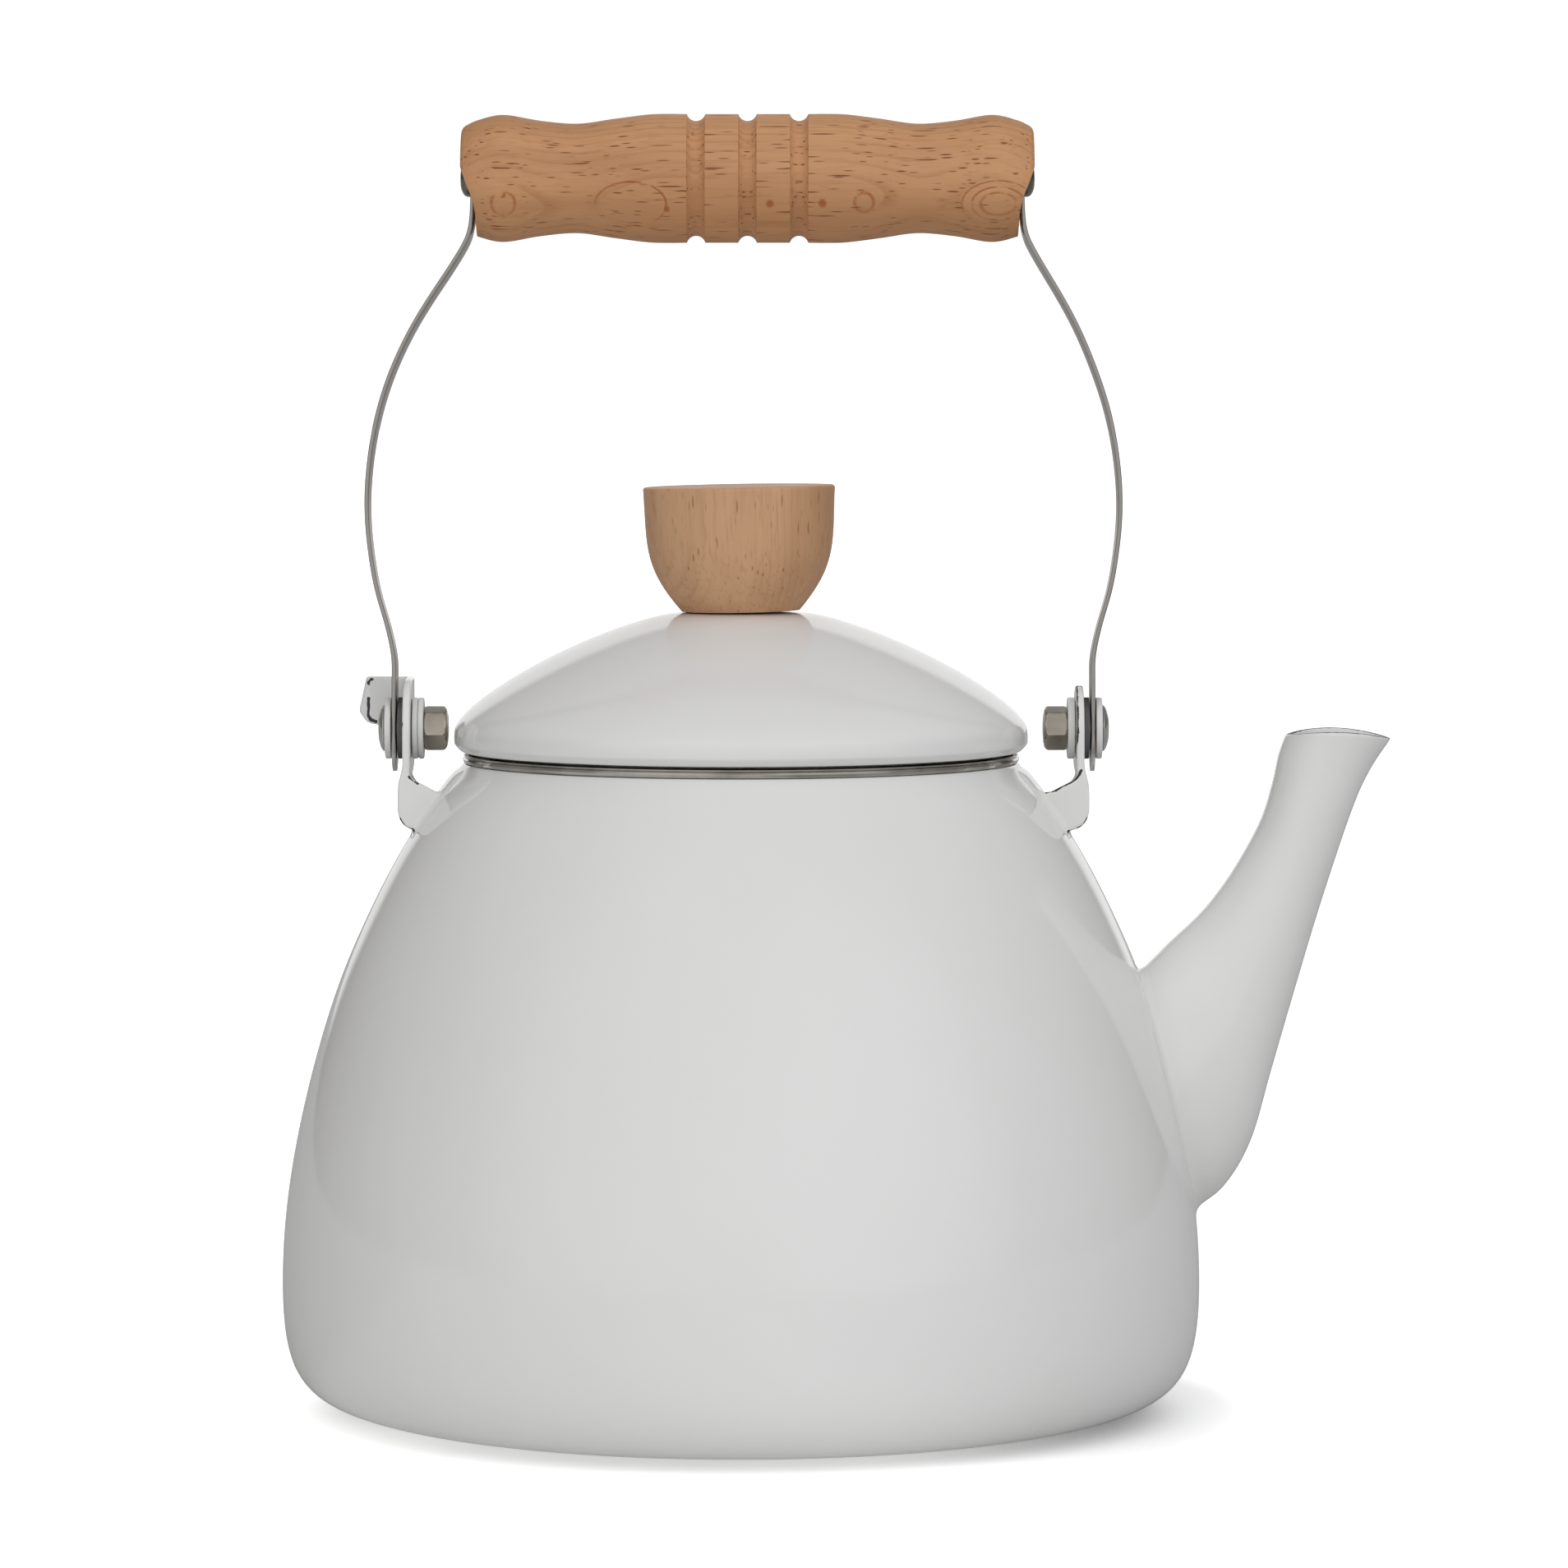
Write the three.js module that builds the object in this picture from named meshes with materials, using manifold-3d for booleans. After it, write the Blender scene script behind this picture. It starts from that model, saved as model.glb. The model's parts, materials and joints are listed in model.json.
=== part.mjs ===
// Stovetop kettle: an enamelled steel body with a welded spout, a lift-off lid with a turned wooden
// knob, and a bail handle of two flat steel straps with a turned wooden grip.
// Millimetres, +Z up. The origin is the middle of the flat base and the spout points along +X.

import * as THREE from 'three';
import { mergeVertices } from 'three/addons/utils/BufferGeometryUtils.js';
import Module from 'manifold-3d';

const wasm = await Module();
wasm.setup();

// ---- driving dimensions ----

const GAP = 0.3; // left between pieces that touch
const WALL = 1.2; // enamelled sheet steel

// body: a flat base, a tight lower corner and a long side that leans in to the neck
const BASE_FLAT_R = 54;
const BODY_R = 93.4;
const CORNER_TOP_Z = 25;
const SHOULDER_R = 57;
const SHOULDER_Z = 131.3;
const COLLAR_R = 55.4;
const COLLAR_TOP_Z = 133.6;

// steel trim ring folded over the collar
const RING_OUTER_R = 56.5;
const RING_INNER_R = 53.3;
const RING_TOP_Z = 134.6;

// lid
const LID_R = 58.3;
const LID_BEAD_Z = 138.7;
const LID_SEAT_R = 13;
const LID_TOP_Z = 163.2;
const LID_HOLE_R = 2.4;
const FLANGE_R = 52.3;
const FLANGE_WALL = 1;
const FLANGE_BOTTOM_Z = 126;

// lid knob, a wooden cup shape
const KNOB_BASE_R = 12;
const KNOB_TOP_R = 19.5;
const KNOB_HEIGHT = 25.3;
const KNOB_SCREW_R = 2;
const KNOB_SCREW_DEPTH = 13;

// bail pivot, on a line along X; the lugs are welded on a little nearer the spout
const PIVOT_Z = 139.4;
const HANDLE_OFFSET = 0.55;
const BOLT_R = 2.5;
const BORE_R = 2.6;
const WASHER_R = 6.25;
const PIVOT_HEAD_R = 4.7;
const NUT_FLATS = 8;
const NUT_LENGTH = 4.9;
const NUT_CAP = 1.2; // the closed end of a nut
const NUT_TURN = THREE.MathUtils.degToRad(15);

// where each piece of the pivot stack begins and ends, as distance from the middle of the bail
const EAR_X = [67.3, 68.9];
const FRICTION_WASHER_X = [69.05, 70.1];
const STRAP_X = [70.35, 71.25];
const OUTER_WASHER_X = [71.45, 72.75];
const HEAD_X = [72.85, 74.2];

// the washers inside each ear, out from the nut: two thin ones on the -X side, a thicker one on +X
const STACK_START_X = 67.15;
const INNER_WASHERS = { left: [1.12, 1.12], right: [1.45] };
const WASHER_SPACE = 0.05;

// pressed lugs; the -X one has a square corner that folds out as the bail's stop
const LUG_WIDTH = 20;
const LUG_SHEET = EAR_X[1] - EAR_X[0];
const EAR_RISE = 8.7; // from the pivot to the top of the plain ear
const FAR_GUSSET_DROP = 1.6;
const STOP_RISE = 10;
const STOP_WIDTH = 1.5;
const STOP_REACH = LUG_WIDTH / 2 + 1.2; // how far towards +Y the stop stands

// bail straps and grip
const STRAP_WIDTH = 11;
const STRAP_FOOT = 8.75; // below the pivot
const STRAP_SHEET = STRAP_X[1] - STRAP_X[0];
const GRIP_Z = 251;
const GRIP_HALF = 58;
const GRIP_BORE_R = 2.2;
const ROD_R = 2;
const ROD_HALF = 57;
const SLOT_FLOOR_X = 54.9;
const SLOT_HALF_WIDTH = 5.9;
const SLOT_TOP = 5.4;
const SLOT_ROUND = 3.6;
const STRAP_END_X = 55.2;
const STRAP_TOP = 5.1; // above the grip's middle
const STRAP_ROUND = 3.5;
const GRIP_BARREL_R = 13.1;
const GROOVE_R = 1.95;
const GROOVE_DEPTH = 1.4;
const GROOVE_PITCH = 10.45;
const LEAN = THREE.MathUtils.degToRad(3.5); // the bail rests against its stop, tipped to +Y
const DRIFT_FROM_Z = 208;
const DRIFT_TO_Z = 240;
const GRIP_DRIFT = 0.8; // the springy straps let the grip stand this much nearer the spout

// spout
const SPOUT_ROOT_HALF_WIDTH = 16;
const SPOUT_NECK_HALF_WIDTH = 8.6;
const MOUTH_FLARE = 0.6;
const MOUTH_CROWN = 1.2; // the mouth's sides stand above its ends

// mesh fineness
const BODY_SIDES = 40;
const GRIP_SIDES = 24;
const KNOB_SIDES = 28;
const SMALL_SIDES = 16;
const SPOUT_SIDES = 20;
const SPOUT_STEPS = 14;

// cutting tools reach this far beyond what they cut
const REACH_X = [50, 90];

// ---- solids ----

const vec2 = (pairs) => pairs.map(([x, y]) => new THREE.Vector2(x, y));
const vec3 = (pairs) => pairs.map(([x, z]) => new THREE.Vector3(x, 0, z));

// A closed geometry as a solid that can be cut and joined.
function solid(geometry) {
  const loose = geometry.index ? geometry.toNonIndexed() : geometry;
  const bare = new THREE.BufferGeometry();
  bare.setAttribute('position', loose.getAttribute('position'));
  const merged = mergeVertices(bare, 1e-4);
  return new wasm.Manifold(new wasm.Mesh({
    numProp: 3,
    vertProperties: merged.getAttribute('position').array,
    triVerts: new Uint32Array(merged.index.array),
  }));
}

function geometryOf(manifold) {
  const mesh = manifold.getMesh();
  const geometry = new THREE.BufferGeometry();
  geometry.setAttribute('position', new THREE.BufferAttribute(mesh.vertProperties, 3));
  geometry.setIndex(new THREE.BufferAttribute(mesh.triVerts, 1));
  return geometry;
}

// A profile of (radius, height) points, run anticlockwise, as a lathe upright on Y.
function turned(profile, sides) {
  const onAxis = profile[0].x === 0 && profile.at(-1).x === 0;
  return new THREE.LatheGeometry(onAxis ? profile : [...profile, profile[0]], sides);
}

const turnedZ = (profile, sides) => solid(turned(profile, sides).rotateX(Math.PI / 2));

const turnedX = (profile, sides) => solid(turned(profile, sides).rotateZ(-Math.PI / 2));

const extruded = (shape, depth) => (
  new THREE.ExtrudeGeometry(shape, { depth, bevelEnabled: false, curveSegments: 10 })
);

// An outline in the XZ plane, extruded along Y from y0 to y1.
function slabY(shape, y0, y1) {
  return solid(extruded(shape, y1 - y0).rotateX(Math.PI / 2).translate(0, y1, 0));
}

// An outline in the YZ plane, extruded along X from x0 to x1.
function slabX(shape, x0, x1) {
  return solid(extruded(shape, x1 - x0).rotateZ(Math.PI / 2).rotateY(Math.PI / 2).translate(x0, 0, 0));
}

// A round bar or hole along X.
function barX(radius, x0, x1) {
  return turnedX(vec2([[0, x0], [radius, x0], [radius, x1], [0, x1]]), SMALL_SIDES);
}

// A flat washer along X, loose on the pivot bolt.
function washerX(x0, x1) {
  return turnedX(vec2([[BORE_R, x0], [WASHER_R, x0], [WASHER_R, x1], [BORE_R, x1]]), SMALL_SIDES);
}

// A line of points moved sideways, to the left of its direction by a positive distance.
function offsetLine(points, distance) {
  return points.map((point, i) => {
    const before = points[Math.max(i - 1, 0)];
    const after = points[Math.min(i + 1, points.length - 1)];
    const along = after.clone().sub(before).normalize();
    return new THREE.Vector2(point.x - along.y * distance, point.y + along.x * distance);
  });
}

// ---- body ----

// The outside of the body, from the middle of the base to the top of the collar.
function bodyOutline() {
  const corner = new THREE.CubicBezierCurve(...vec2([
    [BASE_FLAT_R, 0], [90.4, 0], [BODY_R, 2.4], [BODY_R, CORNER_TOP_Z],
  ]));
  const side = new THREE.SplineCurve(vec2([
    [BODY_R, CORNER_TOP_Z], [92.4, 43], [88.7, 63.3], [83.1, 83.5], [76.8, 99.4], [67.2, 118.3],
    [SHOULDER_R, SHOULDER_Z],
  ]));
  return [
    new THREE.Vector2(0, 0),
    ...corner.getPoints(7),
    ...side.getPoints(9).slice(1),
    ...vec2([[COLLAR_R, SHOULDER_Z + 0.3], [COLLAR_R, COLLAR_TOP_Z]]),
  ];
}

const bodyOutside = bodyOutline();

// The body's outer volume, grown by the gap, to cut whatever is welded to it.
function bodyCutter() {
  const grown = offsetLine(bodyOutside, -GAP);
  grown[0].x = 0;
  const top = grown.at(-1);
  return turnedZ([...grown, new THREE.Vector2(0, top.y)], BODY_SIDES);
}

const cutter = bodyCutter();

function bodyShell() {
  const inside = offsetLine(bodyOutside, WALL);
  inside[0].x = 0;
  return turnedZ([...bodyOutside, ...inside.reverse()], BODY_SIDES).subtract(spoutSolid(WALL));
}

function rimRing() {
  const folded = vec2([
    [COLLAR_R + GAP, 131.9], [RING_OUTER_R - 0.2, 131.9], [RING_OUTER_R, 132.5], [RING_OUTER_R, 133.6],
    [55.9, 134.4], [55.2, RING_TOP_Z], [54.2, RING_TOP_Z], [53.5, 134.2], [RING_INNER_R, 133.6],
    [RING_INNER_R, 129.4], [53.9, 129.4], [53.9, 133.9], [COLLAR_R + GAP, 133.9],
  ]);
  return turnedZ(folded, BODY_SIDES);
}

// ---- spout ----

// Lower and upper contours in the XZ plane, from inside the body to the mouth.
const spoutLower = new THREE.CatmullRomCurve3(vec3([
  [80, 33], [92.6, 41.3], [98.9, 46.5], [104, 55.6], [108.1, 70], [112.9, 86.8],
  [118, 104], [124, 122.2], [127.6, 130.5], [132.1, 137.3],
]));
const spoutUpper = new THREE.CatmullRomCurve3(vec3([
  [66, 75], [82.4, 91], [87.3, 95.9], [93.3, 101.6], [98.1, 107.6], [102.4, 114.5],
  [105.9, 121.5], [108, 128.5], [109.2, 134], [110.5, 138],
]));

// Half the width across Y: broad and oval at the root, nearly round at the neck, flared at the mouth.
function spoutHalfWidth(t) {
  const share = Math.sin(t * Math.PI / 2);
  const narrowed = THREE.MathUtils.lerp(SPOUT_ROOT_HALF_WIDTH, SPOUT_NECK_HALF_WIDTH, share);
  return narrowed + MOUTH_FLARE * t ** 10;
}

// Carries a unit upright tube onto the spout: its height runs along the contours, and the
// skin with the smaller radius goes to the inside face of the wall.
function alongSpout(geometry, inset) {
  const position = geometry.getAttribute('position');
  for (let i = 0; i < position.count; i += 1) {
    const t = THREE.MathUtils.clamp(position.getY(i), 0, 1);
    const radius = Math.hypot(position.getX(i), position.getZ(i));
    const angle = Math.atan2(position.getZ(i), position.getX(i));
    const low = spoutLower.getPoint(t);
    const high = spoutUpper.getPoint(t);
    const middle = low.clone().add(high).multiplyScalar(0.5);
    const reach = low.clone().sub(middle);
    const full = reach.length();
    const shrink = inset(radius);
    const flat = radius < 1e-6 ? 0 : 1;
    reach.multiplyScalar(flat * (full - shrink) / full * Math.cos(angle));
    const across = flat * (spoutHalfWidth(t) - shrink) * Math.sin(angle);
    const crown = MOUTH_CROWN * t ** 8 * flat * Math.sin(angle) ** 2;
    position.setXYZ(i, middle.x + reach.x, -across, middle.z + reach.z + crown);
  }
  return geometry;
}

// The spout as a plug, inset by a distance all round.
function spoutSolid(insetBy) {
  const skin = Array.from({ length: SPOUT_STEPS + 1 }, (_, i) => [1, i / SPOUT_STEPS]);
  const plug = new THREE.LatheGeometry(vec2([[0, 0], ...skin, [0, 1]]), SPOUT_SIDES);
  return solid(alongSpout(plug, () => insetBy));
}

// The spout as a tube with a wall, open at both ends.
function spoutTube() {
  const outer = Array.from({ length: SPOUT_STEPS + 1 }, (_, i) => [1, i / SPOUT_STEPS]);
  const inner = outer.map(([, t]) => [0.5, t]).reverse();
  const tube = new THREE.LatheGeometry(vec2([...outer, ...inner, outer[0]]), SPOUT_SIDES);
  return solid(alongSpout(tube, (radius) => (radius > 0.75 ? 0 : WALL)));
}

const spout = () => spoutTube().subtract(cutter);

// ---- lugs and their fastenings, built for the +X side and mirrored for -X ----

// Seen along Y: straight ear above, bulging out below, curled in under the shoulder.
function lugWeb(reach) {
  const outerX = EAR_X[1];
  const outline = new THREE.Path();
  outline.moveTo(63, 118.2);
  outline.lineTo(66.2, 119.2);
  outline.bezierCurveTo(68.3, 119.4, 69.8, 120.9, 69.9, 123.4);
  outline.lineTo(69.9, 126.5);
  outline.bezierCurveTo(69.8, 129.5, outerX, 130.3, outerX, 132.8);
  outline.lineTo(outerX, PIVOT_Z + STOP_RISE);
  const outside = outline.getPoints(5);
  const inside = offsetLine(outside, LUG_SHEET).reverse();
  return slabY(new THREE.Shape([...outside, ...inside]), -LUG_WIDTH / 2, reach);
}

// Seen along X: rounded over the pivot, or with one square corner where the stop folds out.
function earOutline(withStop) {
  const half = LUG_WIDTH / 2;
  const ear = new THREE.Shape();
  ear.moveTo(-half, 116);
  ear.lineTo(half, 116);
  ear.lineTo(half, PIVOT_Z);
  if (withStop) {
    ear.lineTo(STOP_REACH, PIVOT_Z);
    ear.lineTo(STOP_REACH, PIVOT_Z + STOP_RISE);
    ear.lineTo(0, PIVOT_Z + STOP_RISE);
    ear.absarc(0, PIVOT_Z, half, Math.PI / 2, Math.PI, false);
  } else {
    ear.absellipse(0, PIVOT_Z, half, EAR_RISE, 0, Math.PI, false);
  }
  return ear;
}

// One of the two side gussets that carry the web back to the shoulder, its top edge a little lower or not.
function gusset(y, drop) {
  const top = vec2([
    [56, 127.5], [59.5, 127.6], [60.9, 126.9], [62.4, 127.2], [66.9, 129.6], [68.2, 131.6], [69, 131.6],
  ]).map((point) => new THREE.Vector2(point.x, point.y - drop));
  const outline = [...top, ...vec2([[69.8, 128.5], [69.8, 123], [66.2, 119.6], [60, 119.6]])].reverse();
  return slabY(new THREE.Shape(outline), y, y + LUG_SHEET);
}

function stopFlap() {
  const root = EAR_X[0] + 0.4;
  const flap = vec2([
    [root, PIVOT_Z], [74.8, PIVOT_Z], [76.7, PIVOT_Z + 0.4], [77.5, PIVOT_Z + 1], [78.8, PIVOT_Z + 2.8],
    [77.2, PIVOT_Z + STOP_RISE], [root, PIVOT_Z + STOP_RISE],
  ]);
  return slabY(new THREE.Shape(flap), STOP_REACH - STOP_WIDTH, STOP_REACH);
}

function lug(withStop) {
  const half = LUG_WIDTH / 2;
  const pressing = lugWeb(withStop ? STOP_REACH : half)
    .intersect(slabX(earOutline(withStop), ...REACH_X))
    .add(gusset(-half, 0))
    .add(gusset(half - LUG_SHEET, FAR_GUSSET_DROP));
  const whole = withStop ? pressing.add(stopFlap()) : pressing;
  return whole.subtract(barX(BORE_R, ...REACH_X).translate(0, 0, PIVOT_Z));
}

// Shank and low domed head in one, its end inside the cap nut.
function pivotBolt(nutX) {
  const [from, to] = HEAD_X;
  const end = nutX + NUT_CAP + 0.4;
  const dome = new THREE.SplineCurve(vec2([
    [PIVOT_HEAD_R, from + 0.3], [PIVOT_HEAD_R - 0.9, from + 0.95], [2.2, to - 0.1], [0, to],
  ]));
  const shank = vec2([[0, end], [BOLT_R, end], [BOLT_R, from], [PIVOT_HEAD_R, from]]);
  return turnedX([...shank, ...dome.getPoints(4)], SMALL_SIDES);
}

// Hexagonal cap nut, closed on the lid side, with a blind hole for the bolt.
function capNut(nutX) {
  const corner = NUT_FLATS / Math.sqrt(3);
  const hexagon = new THREE.Shape(Array.from({ length: 6 }, (_, i) => {
    const angle = (i + 0.5) * Math.PI / 3 - NUT_TURN;
    return new THREE.Vector2(corner * Math.cos(angle), corner * Math.sin(angle));
  }));
  const end = nutX + NUT_LENGTH;
  const chamfered = turnedX(vec2([
    [0, nutX], [corner - 0.9, nutX], [corner + 0.2, nutX + 0.7], [corner + 0.2, end], [0, end],
  ]), GRIP_SIDES);
  const blind = barX(BORE_R, nutX + NUT_CAP, end + 1);
  return slabX(hexagon, nutX, end).intersect(chamfered).subtract(blind);
}

// ---- bail ----

// Middle line of a strap: upright at the pivot, bowed outwards, then in and up to the grip's end.
// The side is 1 for +X and -1 for -X, and both are drawn as if they were +X.
function strapLine(side) {
  const foot = (STRAP_X[0] + STRAP_X[1]) / 2;
  const head = STRAP_END_X + STRAP_SHEET / 2;
  const bow = new THREE.SplineCurve(vec2([
    [foot, 149], [70.9, 154], [72.2, 160.3], [74.9, 170.3], [76.4, 186], [74, 203.5], [67.7, 220],
    [58.9, 234.5], [56.3, 239.8], [head, 245],
  ]));
  const line = [
    new THREE.Vector2(foot, PIVOT_Z - STRAP_WIDTH),
    ...bow.getPoints(18),
    new THREE.Vector2(head, GRIP_Z + STRAP_WIDTH),
  ];
  for (const point of line) {
    point.x += side * GRIP_DRIFT * THREE.MathUtils.smoothstep(point.y, DRIFT_FROM_Z, DRIFT_TO_Z);
  }
  return line;
}

// A strap's flat outline seen along X: a round lower end and a top with rounded corners.
function strapFace() {
  const half = STRAP_WIDTH / 2;
  const top = GRIP_Z + STRAP_TOP - STRAP_ROUND;
  const face = new THREE.Shape();
  face.absarc(0, PIVOT_Z - STRAP_FOOT + half, half, Math.PI, 2 * Math.PI, false);
  face.absarc(half - STRAP_ROUND, top, STRAP_ROUND, 0, Math.PI / 2, false);
  face.absarc(STRAP_ROUND - half, top, STRAP_ROUND, Math.PI / 2, Math.PI, false);
  return face;
}

function strap(side) {
  const line = strapLine(side);
  const inside = offsetLine(line, STRAP_SHEET / 2).reverse();
  const outside = offsetLine(line, -STRAP_SHEET / 2);
  const band = slabY(new THREE.Shape([...outside, ...inside]), -STRAP_WIDTH / 2, STRAP_WIDTH / 2);
  const pivotHole = barX(BORE_R, ...REACH_X).translate(0, 0, PIVOT_Z);
  const rodHole = barX(GRIP_BORE_R, ...REACH_X).translate(0, 0, GRIP_Z);
  return band.intersect(slabX(strapFace(), ...REACH_X)).subtract(pivotHole).subtract(rodHole);
}

// One turned groove about a place along the grip, as (x, radius), by shares of its arc.
function groove(centre, shares) {
  const rise = Math.asin((GROOVE_R - GROOVE_DEPTH) / GROOVE_R);
  return shares.map((share) => {
    const angle = Math.PI + rise + share * (Math.PI - 2 * rise);
    const radius = GRIP_BARREL_R + GROOVE_R - GROOVE_DEPTH + GROOVE_R * Math.sin(angle);
    return [centre + GROOVE_R * Math.cos(angle), radius];
  });
}

// Half the grip's outline from the middle to one end, as (x, radius).
function gripHalfOutline() {
  const swell = new THREE.SplineCurve(vec2([
    [15, 13.15], [20, 13], [27, 12.1], [34.5, 11.1], [42, 11.7], [49.5, 12.95], [54.6, 11.9],
    [57.4, 10.6], [GRIP_HALF, 9.6],
  ]));
  return [
    ...groove(0, [0.5, 1]),
    ...groove(GROOVE_PITCH, [0, 0.33, 0.67, 1]),
    ...swell.getPoints(10).map((point) => [point.x, point.y]),
  ];
}

// The pocket in each end of the grip that a strap's end stands in, open below.
function endSlot(x0, x1) {
  const slot = new THREE.Shape();
  const corner = SLOT_HALF_WIDTH - SLOT_ROUND;
  slot.moveTo(-SLOT_HALF_WIDTH, -2 * GRIP_BARREL_R);
  slot.lineTo(SLOT_HALF_WIDTH, -2 * GRIP_BARREL_R);
  slot.absarc(corner, SLOT_TOP - SLOT_ROUND, SLOT_ROUND, 0, Math.PI / 2, false);
  slot.absarc(-corner, SLOT_TOP - SLOT_ROUND, SLOT_ROUND, Math.PI / 2, Math.PI, false);
  return slabX(slot, x0, x1);
}

// What is scooped from under each end of the grip, so that the strap comes out of it freely.
function endScoop() {
  const floor = -2 * GRIP_BARREL_R;
  const scoop = new THREE.Shape(vec2([
    [SLOT_FLOOR_X, floor], [80, floor], [80, 3.5], [58.3, 3.5], [57.8, 1], [56.9, -1.5], [56.1, -3.5],
    [55.3, -6], [SLOT_FLOOR_X, -8],
  ]));
  return slabY(scoop, -GRIP_BARREL_R, GRIP_BARREL_R);
}

function grip() {
  const half = gripHalfOutline();
  const mirrored = half.slice(1).map(([x, r]) => [-x, r]).reverse();
  const skin = [...mirrored, ...half].map(([x, r]) => [r, x]);
  const outline = vec2([[GRIP_BORE_R, -GRIP_HALF], ...skin, [GRIP_BORE_R, GRIP_HALF]]);
  const beyond = GRIP_HALF + GRIP_BARREL_R;
  return turnedX(outline, GRIP_SIDES)
    .subtract(endSlot(SLOT_FLOOR_X, beyond))
    .subtract(endSlot(-beyond, -SLOT_FLOOR_X))
    .subtract(endScoop())
    .subtract(endScoop().mirror([1, 0, 0]));
}

const gripRod = () => barX(ROD_R, -ROD_HALF, ROD_HALF);

// Domed cap nut on the rod's end, holding the strap in its slot.
function gripCap() {
  const seat = STRAP_END_X + STRAP_SHEET + 0.15;
  return turnedX(vec2([
    [2.15, seat], [3.75, seat], [3.75, seat + 0.8], [3.1, seat + 1.5], [1.9, seat + 1.95], [0, seat + 2.1],
    [0, ROD_HALF + 0.4], [2.15, ROD_HALF + 0.4],
  ]), SMALL_SIDES);
}

// ---- lid ----

function lidOutside() {
  const dome = new THREE.CubicBezierCurve(...vec2([
    [LID_SEAT_R, LID_TOP_Z], [33.5, 159.1], [LID_R, 144.2], [LID_R, LID_BEAD_Z],
  ]));
  return [
    new THREE.Vector2(LID_HOLE_R, LID_TOP_Z),
    ...dome.getPoints(8),
    ...vec2([[57.9, 136.9], [57.3, 135.7], [56.6, 134.9]]),
  ];
}

function lidShell() {
  const outside = lidOutside().reverse();
  const inside = offsetLine(outside, WALL);
  inside[0].set(55.5, 134.9);
  inside.at(-1).x = LID_HOLE_R;
  return turnedZ([...outside, ...inside.reverse()], BODY_SIDES);
}

function lidFlange() {
  const inner = FLANGE_R - FLANGE_WALL;
  return turnedZ(vec2([
    [inner - 1.2, FLANGE_BOTTOM_Z], [inner, FLANGE_BOTTOM_Z - 0.6], [FLANGE_R - 0.3, FLANGE_BOTTOM_Z - 0.1],
    [FLANGE_R, FLANGE_BOTTOM_Z + 1], [FLANGE_R, 143.3], [inner, 144], [inner, FLANGE_BOTTOM_Z + 1],
  ]), BODY_SIDES);
}

function knob() {
  const seat = LID_TOP_Z + 0.1;
  const top = seat + KNOB_HEIGHT;
  const boreR = KNOB_SCREW_R + 0.15;
  const boreTop = seat + KNOB_SCREW_DEPTH + 1;
  const cup = new THREE.CubicBezierCurve(...vec2([
    [KNOB_BASE_R, seat], [19.5, seat + 10.6], [18.7, seat + 13.7], [KNOB_TOP_R, top - 0.6],
  ]));
  return turnedZ([
    ...vec2([[0, boreTop], [boreR, boreTop], [boreR, seat]]),
    ...cup.getPoints(7),
    ...vec2([[KNOB_TOP_R - 0.5, top], [0, top]]),
  ], KNOB_SIDES);
}

// Screw from under the lid up into the knob, with a washer under its head.
const KNOB_WASHER_TOP_Z = LID_TOP_Z - WALL - 0.15;
const KNOB_WASHER_THICK = 1;

function knobScrew() {
  const head = KNOB_WASHER_TOP_Z - KNOB_WASHER_THICK - 0.1;
  const tip = LID_TOP_Z + KNOB_SCREW_DEPTH;
  return turnedZ(vec2([
    [0, head - 2.2], [2.6, head - 2], [3.7, head - 0.9], [3.7, head], [KNOB_SCREW_R, head],
    [KNOB_SCREW_R, tip], [0, tip + 0.8],
  ]), SMALL_SIDES);
}

function knobWasher() {
  const inner = KNOB_SCREW_R + 0.2;
  const bottom = KNOB_WASHER_TOP_Z - KNOB_WASHER_THICK;
  return turnedZ(vec2([
    [inner, bottom], [6, bottom], [6, KNOB_WASHER_TOP_Z], [inner, KNOB_WASHER_TOP_Z],
  ]), SMALL_SIDES);
}

// ---- materials ----

function material(color, roughness, metalness) {
  return new THREE.MeshStandardMaterial({ color, roughness, metalness });
}

const WHITE_ENAMEL = () => material('#dcdcd8', 0.12, 0);
const BRIGHT_STEEL = () => material('#c4c2bd', 0.16, 1);
const STRAP_STEEL = () => material('#8d8a86', 0.35, 1);
const NICKEL = () => material('#a79c8f', 0.22, 1);
const WHITE_NYLON = () => material('#e2e1dd', 0.45, 0);
const DARK_FIBRE = () => material('#2f2f31', 0.8, 0);
const BEECH = () => material('#c4946a', 0.55, 0);

// ---- assembly ----

const kettle = new THREE.Group();

function place(name, body, finish, parent = kettle) {
  const mesh = new THREE.Mesh(geometryOf(body), finish);
  mesh.name = name;
  parent.add(mesh);
  return mesh;
}

place('body_shell', bodyShell(), WHITE_ENAMEL());
place('spout', spout(), WHITE_ENAMEL());
place('rim_ring', rimRing(), BRIGHT_STEEL());

place('lid_shell', lidShell(), WHITE_ENAMEL());
place('lid_flange', lidFlange(), WHITE_ENAMEL());
place('lid_knob', knob(), BEECH());
place('knob_screw', knobScrew(), BRIGHT_STEEL());
place('knob_washer', knobWasher(), BRIGHT_STEEL());

// The bail is one group that turns about the pivot line.
const bail = new THREE.Group();
bail.position.set(HANDLE_OFFSET, 0, PIVOT_Z);
bail.rotation.x = -LEAN;
kettle.add(bail);

const GRIP_PLACE = [GRIP_DRIFT, 0, GRIP_Z - PIVOT_Z];

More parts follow.
